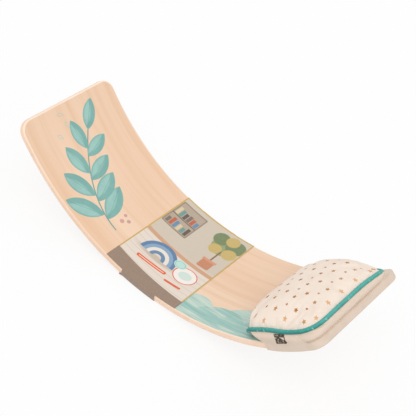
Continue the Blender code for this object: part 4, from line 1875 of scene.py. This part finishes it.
@dataclass
class Pocket:
    """The cloth sewn to the pillow's seam on three sides, which wraps the board's end and grips it."""

    plan: PillowPlan = PillowPlan()
    cloth: float = 0.0011
    mouth_at_seam: float = math.radians(32.6)
    mouth_at_board: float = math.radians(36.4)
    groove_angles: Spot = (math.radians(46.8), math.radians(48.4))
    groove_depth: float = 0.0052
    groove_rise: float = 0.0022
    groove_width: float = 0.0020
    groove_end: Spot = (0.098, 0.114)
    groove_top: Spot = (0.04, 0.20)
    hook: float = 0.015
    hook_angles: Spot = (math.radians(47.4), math.radians(48.9))
    far_hook: float = 0.011
    far_hook_reach: Spot = (0.076, 0.102)
    far_corner_reach: Spot = (0.108, 0.124)
    end_fullness: float = 0.45
    far_flatness: float = 0.75
    corner_puff: float = 0.0046
    puff_heading: float = -0.85
    puff_spread: float = 0.62
    lip_draw: float = 0.0012
    wall_rows: int = 26
    under_reach: float = 0.030
    belly: float = 0.0040
    seam_offset: float = 0.0042
    snug: float = 0.0028
    stations: tuple[int, ...] = (52, 18, 78, 18, 52)
    creases: tuple[Crease, ...] = (
        Crease((0.104, 0.024), (0.112, 0.004), 0.0016, 0.0018),
        Crease((0.116, 0.024), (0.130, 0.006), 0.0022, 0.0018),
        Crease((0.120, 0.024), (0.148, 0.010), 0.0024, 0.0018),
        Crease((0.128, 0.023), (0.168, 0.013), 0.0022, 0.0019),
        Crease((0.142, 0.023), (0.186, 0.018), 0.0016, 0.0018),
        Crease((0.140, -0.003), (0.186, -0.011), 0.0012, 0.0022),
        Crease((0.152, 0.004), (0.176, -0.008), 0.0012, 0.0020),
        Crease((0.205, 0.018), (0.262, 0.013), 0.0014, 0.0020),
        Crease((0.255, 0.010), (0.325, 0.017), 0.0012, 0.0022),
        Crease((0.300, 0.014), (0.318, 0.006), 0.0012, 0.0018),
        Crease((0.330, -0.004), (0.400, -0.010), 0.0008, 0.0026),
        Crease((0.060, 0.024), (0.078, 0.004), 0.0012, 0.0021),
        Crease((0.022, 0.021), (0.044, 0.006), 0.0010, 0.0022),
    )

    def along_path(self, reach: float, half: float, corners: Spot, mouth: float) -> list[Station]:
        """Points of a U round the board's end, from the near mouth to the far one.

        Args:
            reach: How far the U goes along the board, as a length.
            half: Half its width.
            corners: The radii of its near and far corners.
            mouth: The length at which it begins and ends.

        Returns:
            For each station the length along the board, the Y, and the heading of the outward side.
        """
        near, far = corners
        points = []
        for segment, steps in enumerate(self.stations):
            for share in spaced(0, 1, steps)[1 if segment else 0 :]:
                turn = math.radians(90 * share)
                sine, cosine = math.sin(turn), math.cos(turn)
                places = (
                    (mouth + (reach - near - mouth) * share, -half, -math.pi / 2),
                    (reach - near + near * sine, -half + near - near * cosine, turn - math.pi / 2),
                    (reach, -half + near + (2 * half - near - far) * share, 0.0),
                    (reach - far + far * cosine, half - far + far * sine, turn),
                    (reach - far - (reach - far - mouth) * share, half, math.pi / 2),
                )
                points.append(places[segment])
        return points

    def board_path(self, offset: float) -> list[Station]:
        """Points round the board's end.

        Args:
            offset: How far out of the board's edge they lie.

        Returns:
            The stations, each an angle, a Y and a heading.
        """
        radius, corner = ARC.outer_radius, ARC.corner + offset
        reach = ARC.half_angle * radius + offset
        path = self.along_path(reach, ARC.half_width + offset, (corner, corner), self.mouth_at_board * radius)

        def puff(along: float, _: float, heading: float) -> float:
            """How far the cloth stands out at the near corner, less its pull at the mouths."""
            round_corner = math.exp(-(((heading - self.puff_heading) / self.puff_spread) ** 2))
            at_mouth = 1 - smooth(along / radius - self.mouth_at_board, 0.0, 0.05)
            return self.corner_puff * smooth(offset, -0.020, 0.002) * round_corner - self.lip_draw * at_mouth

        return self._placed(path, radius, puff)

    def seam_path(self) -> list[Station]:
        """Points of the pocket's seam under the piping.

        Returns:
            The stations, each an angle, a Y and a heading.
        """
        plan = self.plan
        middle, radius = plan.angle * plan.seam_radius, plan.seam_radius
        corners = plan.near_corner + self.seam_offset, plan.far_corner + self.seam_offset
        reach, half = plan.half_length + self.seam_offset, plan.half_width + self.seam_offset
        path = self.along_path(middle + reach, half, corners, self.mouth_at_seam * radius)

        def grow(along: float, y: float, _: float) -> float:
            """How far the seam itself is moved out."""
            return plan.seam_grow(*self._rim_spot(along - middle, y))

        return self._placed(path, radius, grow)

    def _placed(self, path: list[Station], radius: float, push: Callable[..., float]) -> list[Station]:
        """Stations moved outwards, with their lengths turned into angles.

        Args:
            path: The stations, each a length along the board, a Y and a heading.
            radius: The radius at which the lengths are measured.
            push: How far a station is moved outwards.

        Returns:
            The stations, each an angle, a Y and a heading.
        """
        placed = []
        for along, y, heading in path:
            out = push(along, y, heading)
            angle = (along + out * math.cos(heading)) / radius
            placed.append((angle, y + out * math.sin(heading), heading))
        return placed

    def rows(self) -> tuple[Grid, list]:
        """The pocket's outer face, station by station, and each point's place on the flat cloth.

        Returns:
            The rows of points and the rows of flat places.
        """
        seams, base = self.seam_path(), self.board_path(self.snug)
        edge = self.edge_profile()
        boards = [self.board_path(offset) for offset, _ in edge]
        rows, flats, walked = [], [], 0.0
        for index, (angle, y, heading) in enumerate(seams):
            if index:
                turned, across = base[index][0] - base[index - 1][0], base[index][1] - base[index - 1][1]
                walked += math.hypot(turned * ARC.outer_radius, across)
            along = (angle - self.plan.angle) * self.plan.seam_radius
            seam = Vector((angle, y, self.plan.seam(*self._rim_spot(along, y)) - 0.0020))
            foot = Vector((base[index][0], base[index][1], 0.0))
            row = []
            for share in spaced(0, 1, self.wall_rows):
                point = seam.lerp(foot, share)
                row.append(self._pushed(point, heading, self.push(share, point, walked)))
            for (offset, rise), board in zip(edge, boards):
                point = Vector((board[index][0], board[index][1], rise))
                push = 0.0
                if rise > -0.014:
                    push = self.ripple(walked, rise) * 0.5 - self.crease_depth(walked, rise)
                row.append(self._pushed(point, heading, push))
            rows.append([ARC.place(*point) for point in row])
            lengths = [0.0]
            for first, second in zip(rows[-1], rows[-1][1:]):
                lengths.append(lengths[-1] + (second - first).length)
            flats.append([(walked, length) for length in lengths])
        return rows, flats

    def edge_profile(self) -> list[Spot]:
        """(offset, rise) of the rows down the board's edge and in under it.

        Returns:
            The rows, from the top down.
        """
        out, low = self.snug, -ARC.thickness
        rises = (-0.0016, -0.0036, -0.0060, -0.0085, -0.0110, low + 0.0036)
        profile = [(out + 0.0002, rise) for rise in rises]
        turns = (0.35, 0.7, 1.05, 1.4)
        profile += [(out - 0.004 * (1 - math.cos(t)), low + 0.0023 - 0.004 * math.sin(t)) for t in turns]
        steps = spaced(0.004, self.under_reach - 0.004, 5)
        return profile + [(out - 0.004 - step, low - 0.0016) for step in steps]

    def _rim_spot(self, along: float, y: float) -> Spot:
        """A (u, v) on the seam near a place, good enough to read the seam's rise."""
        u, v = along / self.plan.half_length, y / self.plan.half_width
        size = max(abs(u), abs(v))
        return u / size, v / size

    def push(self, share: float, point: Vector, walked: float) -> float:
        """How far the wall stands out from a straight one.

        Args:
            share: The share of the way down from the seam to the board.
            point: The angle, Y and rise.
            walked: The length walked from the near mouth.

        Returns:
            The distance outwards: the belly and ripples, less the groove over the board and the creases.
        """
        belly = self.belly * math.sin(math.pi * share**0.8)
        far_corner = smooth(point.y, *self.far_corner_reach)
        drop = smooth(point.x, *self.groove_angles)
        hook = self.hook * (1 - smooth(point.x, *self.hook_angles))
        hook += self.far_hook * smooth(point.y, *self.far_hook_reach) ** 2
        from_groove = (point.z - self.groove_rise - hook) / self.groove_width
        groove = math.exp(-(from_groove**2)) * self.groove_depth
        groove *= drop * (1 - smooth(point.y, *self.groove_end)) * smooth(share, *self.groove_top)
        fullness = (1 + self.end_fullness * drop) * (1 - self.far_flatness * far_corner)
        fade = math.sin(math.pi * min(1.0, 0.5 + share * 0.5)) if share > 0.9 else min(1.0, share * 8)
        uneven = self.ripple(walked, point.z) - self.crease_depth(walked, point.z)
        return belly * fullness - groove + uneven * fade

    def ripple(self, walked: float, rise: float) -> float:
        """The cloth's slight unevenness at a place."""
        broad = noise.noise(Vector((walked * 30.0, rise * 55.0, 4.0)))
        fine = noise.noise(Vector((walked * 85.0 + rise * 60.0, rise * 40.0, 9.0)))
        return 0.0012 * broad + 0.0007 * fine

    def crease_depth(self, walked: float, rise: float) -> float:
        """How deep the creases are at a place."""
        return sum(crease.depth_at(walked, rise) for crease in self.creases)

    def _pushed(self, point: Vector, heading: float, push: float) -> Vector:
        """A point (angle, y, rise) moved outwards."""
        radius = ARC.inner_radius - point.z
        angle = point.x + push * math.cos(heading) / radius
        return Vector((angle, point.y + push * math.sin(heading), point.z))

    def build(self) -> None:
        """Builds and dresses the pocket."""
        rows, flats = self.rows()
        mesh = sheet_mesh("pillow_wrap", rows, flats)
        piece = add_piece("pillow_wrap", mesh, PocketClothFinish().material("pocket_cloth"))
        end = self.stations[0] + self.stations[1] + self.stations[2] // 2
        face_outwards(piece, (1, 0, 0), end * (len(rows[0]) - 1) + self.wall_rows // 2)
        subdivide(piece)
        area = sum(polygon.area for polygon in piece.data.polygons)
        length, width = flats[-1][0][0], max(row[-1][1] for row in flats)
        thicken(piece, self.cloth)
        log.info("pocket cut %.3f by %.3f m, area %.4f", length, width, area)
        cut = min(area, length * width)
        finish_piece(piece, "pillow", "plain_cloth", "pillow_pocket")


@dataclass
class Label:
    """A blank woven label, folded double and sewn in under the piping."""

    angle: float = math.radians(41.9)
    width: float = 0.028
    y: float = -0.1564
    top: float = 0.0262
    bottom: float = 0.0046
    fold: float = 0.0010
    cloth: float = 0.0004
    tilt: float = math.radians(-0.05)
    flare: float = 0.0016
    cup: float = 0.0009
    clear: float = 0.0004

    def build(self) -> None:
        """Builds and dresses the label."""
        low = self.bottom + self.fold
        loop = [(0.0, rise) for rise in spaced(self.top, low, 8)]
        turns = spaced(0.4, math.pi - 0.4, 5)
        loop += [(-self.fold + self.fold * math.cos(t), low - self.fold * math.sin(t)) for t in turns]
        loop += [(-2 * self.fold, rise) for rise in spaced(low, self.top, 8)]
        across = spaced(-self.width / 2, self.width / 2, 14)
        rows, flats, length = [], [], 0.0
        for index, (back, rise) in enumerate(loop):
            share = (self.top - rise) / (self.top - self.bottom)
            if index:
                length += math.hypot(back - loop[index - 1][0], rise - loop[index - 1][1])
            row = []
            for x in across:
                curl = self.flare * share * share + self.cup * share * (x / self.width * 2) ** 2
                angle = self.angle + x / (ARC.inner_radius - rise) - self.tilt * share
                row.append(ARC.place(angle, self.y - back - curl + self.clear, rise))
            rows.append(row)
            flats.append([(x, length) for x in across])
        mesh = sheet_mesh("blank_label", rows, flats)
        piece = add_piece("blank_label", mesh, LabelFinish().material("brown_weave"))
        face_outwards(piece, (0, -1, 0))
        thicken(piece, self.cloth)
        finish_piece(piece, "pillow", "brown_weave", "woven_label")


def attributes_to_flat(piece: Piece, across: str, along: str, wrap: float) -> None:
    """Turns two stored numbers into the flat UV map, closed round a tube.

    Args:
        piece: The piece whose points hold the numbers.
        across: The attribute that goes round the tube.
        along: The attribute that goes along it.
        wrap: The length round the tube, at which the first number starts again.
    """
    mesh = piece.data
    values = {}
    for name in (across, along):
        held = np.zeros(len(mesh.vertices), np.float32)
        mesh.attributes[name].data.foreach_get("value", held)
        values[name] = held
    spans = {across: wrap, along: float(values[along].max())}
    flat = mesh.uv_layers.new(name=FLAT_MAP)
    for polygon in mesh.polygons:
        verts = [mesh.loops[loop].vertex_index for loop in polygon.loop_indices]
        spots = []
        for name, span in spans.items():
            numbers = [float(values[name][vert]) for vert in verts]
            if max(numbers) - min(numbers) > span / 2:
                numbers = [number + span if number < span / 2 else number for number in numbers]
            spots.append(numbers)
        for loop, spot in zip(polygon.loop_indices, zip(*spots)):
            flat.data[loop].uv = spot


def store_upward(piece: Piece) -> None:
    """Keeps how far each point faces up, for the painted light on top of the piping and the painted shade
    below it.
    """
    held = piece.data.attributes.new(UPWARD, "FLOAT", "POINT")
    for vert, item in zip(piece.data.vertices, held.data):
        item.value = vert.normal.z


@dataclass
class Studio:
    """A white floor under soft even light, and the camera at the photograph's angle."""

    place: Vector = field(default_factory=lambda: Vector((0.92265, -1.44958, 1.76800)))
    azimuth: float = math.radians(31.789)
    elevation: float = math.radians(42.536)
    roll: float = math.radians(12.192)
    lens: float = 88.51
    sky: float = 0.78
    sun: float = 0.95
    sunlight: Spot = (-0.28, 0.42)
    floor_glow: float = 0.84
    floor_size: float = 30.0

    def build(self) -> None:
        """Sets up the camera, the lights, the world and the floor."""
        self.camera()
        self.world()
        self.lamp()
        self.floor()

    def camera(self) -> None:
        """The camera, looking down at the board from beside the pillow."""
        data = bpy.data.cameras.new("camera")
        data.lens = self.lens
        data.sensor_width = 36.0
        data.clip_start, data.clip_end = 0.1, 50.0
        camera = bpy.data.objects.new("camera", data)
        level = math.cos(self.elevation)
        side, forward = math.sin(self.azimuth) * level, math.cos(self.azimuth) * level
        back = Vector((side, -forward, math.sin(self.elevation)))
        camera.location = self.place
        camera.rotation_mode = "QUATERNION"
        camera.rotation_quaternion = (-back).to_track_quat("-Z", "Y") @ Quaternion((0, 0, 1), self.roll)
        bpy.context.scene.collection.objects.link(camera)
        bpy.context.scene.camera = camera

    def world(self) -> None:
        """Even light from all round, which the camera and gloss see as white."""
        world = bpy.data.worlds.new("studio")
        world.use_nodes = True
        graph = Graph(world.node_tree)
        seen = self.seen_white(graph)
        strength = graph.ramp(seen, 0.0, 1.0, self.sky, 1.0)
        background = world.node_tree.nodes["Background"]
        background.inputs["Color"].default_value = (1, 1, 1, 1)
        graph.put(background.inputs["Strength"], strength)
        bpy.context.scene.world = world

    def seen_white(self, graph: Graph) -> Wire:
        """1 for camera, glossy and transmission rays, and 0 for the rest."""
        path = graph.node("ShaderNodeLightPath")
        rays = [Wire(graph, path.outputs[f"Is {kind} Ray"]) for kind in ("Camera", "Glossy", "Transmission")]
        return graph.math("MAXIMUM", graph.math("MAXIMUM", rays[0], rays[1]), rays[2])

    def lamp(self) -> None:
        """One broad soft lamp from over the pillow's near side."""
        data = bpy.data.lights.new("window", "SUN")
        data.energy = self.sun
        data.angle = math.radians(50)
        lamp = bpy.data.objects.new("window", data)
        lamp.rotation_mode = "QUATERNION"
        lamp.rotation_quaternion = Vector((*self.sunlight, -1.0)).to_track_quat("-Z", "Y")
        bpy.context.scene.collection.objects.link(lamp)

    def floor(self) -> None:
        """A white floor that keeps a soft shadow."""
        half = self.floor_size / 2
        corners = [(-half, -half, 0), (half, -half, 0), (half, half, 0), (-half, half, 0)]
        mesh = bpy.data.meshes.new("floor")
        mesh.from_pydata(corners, [], [(0, 1, 2, 3)])
        shader = Shader("white_floor")
        shader.set(Base_Color=(0.9, 0.9, 0.9, 1), Roughness=0.9, Specular_IOR_Level=0.0)
        glow = shader.node("ShaderNodeEmission", {"Color": (1, 1, 1, 1), "Strength": 1.0})
        share = self.seen_white(shader) * self.floor_glow
        inputs = {0: share, 1: Wire(shader, shader.principled.outputs[0]), 2: Wire(shader, glow.outputs[0])}
        mixed = shader.wire("ShaderNodeMixShader", inputs)
        shader.put(shader.tree.nodes["Material Output"].inputs["Surface"], mixed)
        add_piece("floor", mesh, shader.material)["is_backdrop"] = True


def write_sizes() -> None:
    """Works out the box of the CAD model and of the visual model."""
    boxes = {"cad": CAD_BOX, "visual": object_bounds()}
    plain = {name: [list(corner) for corner in box] for name, box in boxes.items()}


def main() -> None:
    """Builds every class in order and reports each piece."""
    logging.basicConfig(level=logging.INFO, format="%(message)s")
    bpy.context.scene.view_settings.view_transform = "Standard"
    Studio().build()
    BentBoard().build()
    CardSleeve().build()
    Cushion().build()
    Piping().build()
    Pocket().build()
    Label().build()
    write_sizes()


if __name__ == "__main__":
    main()
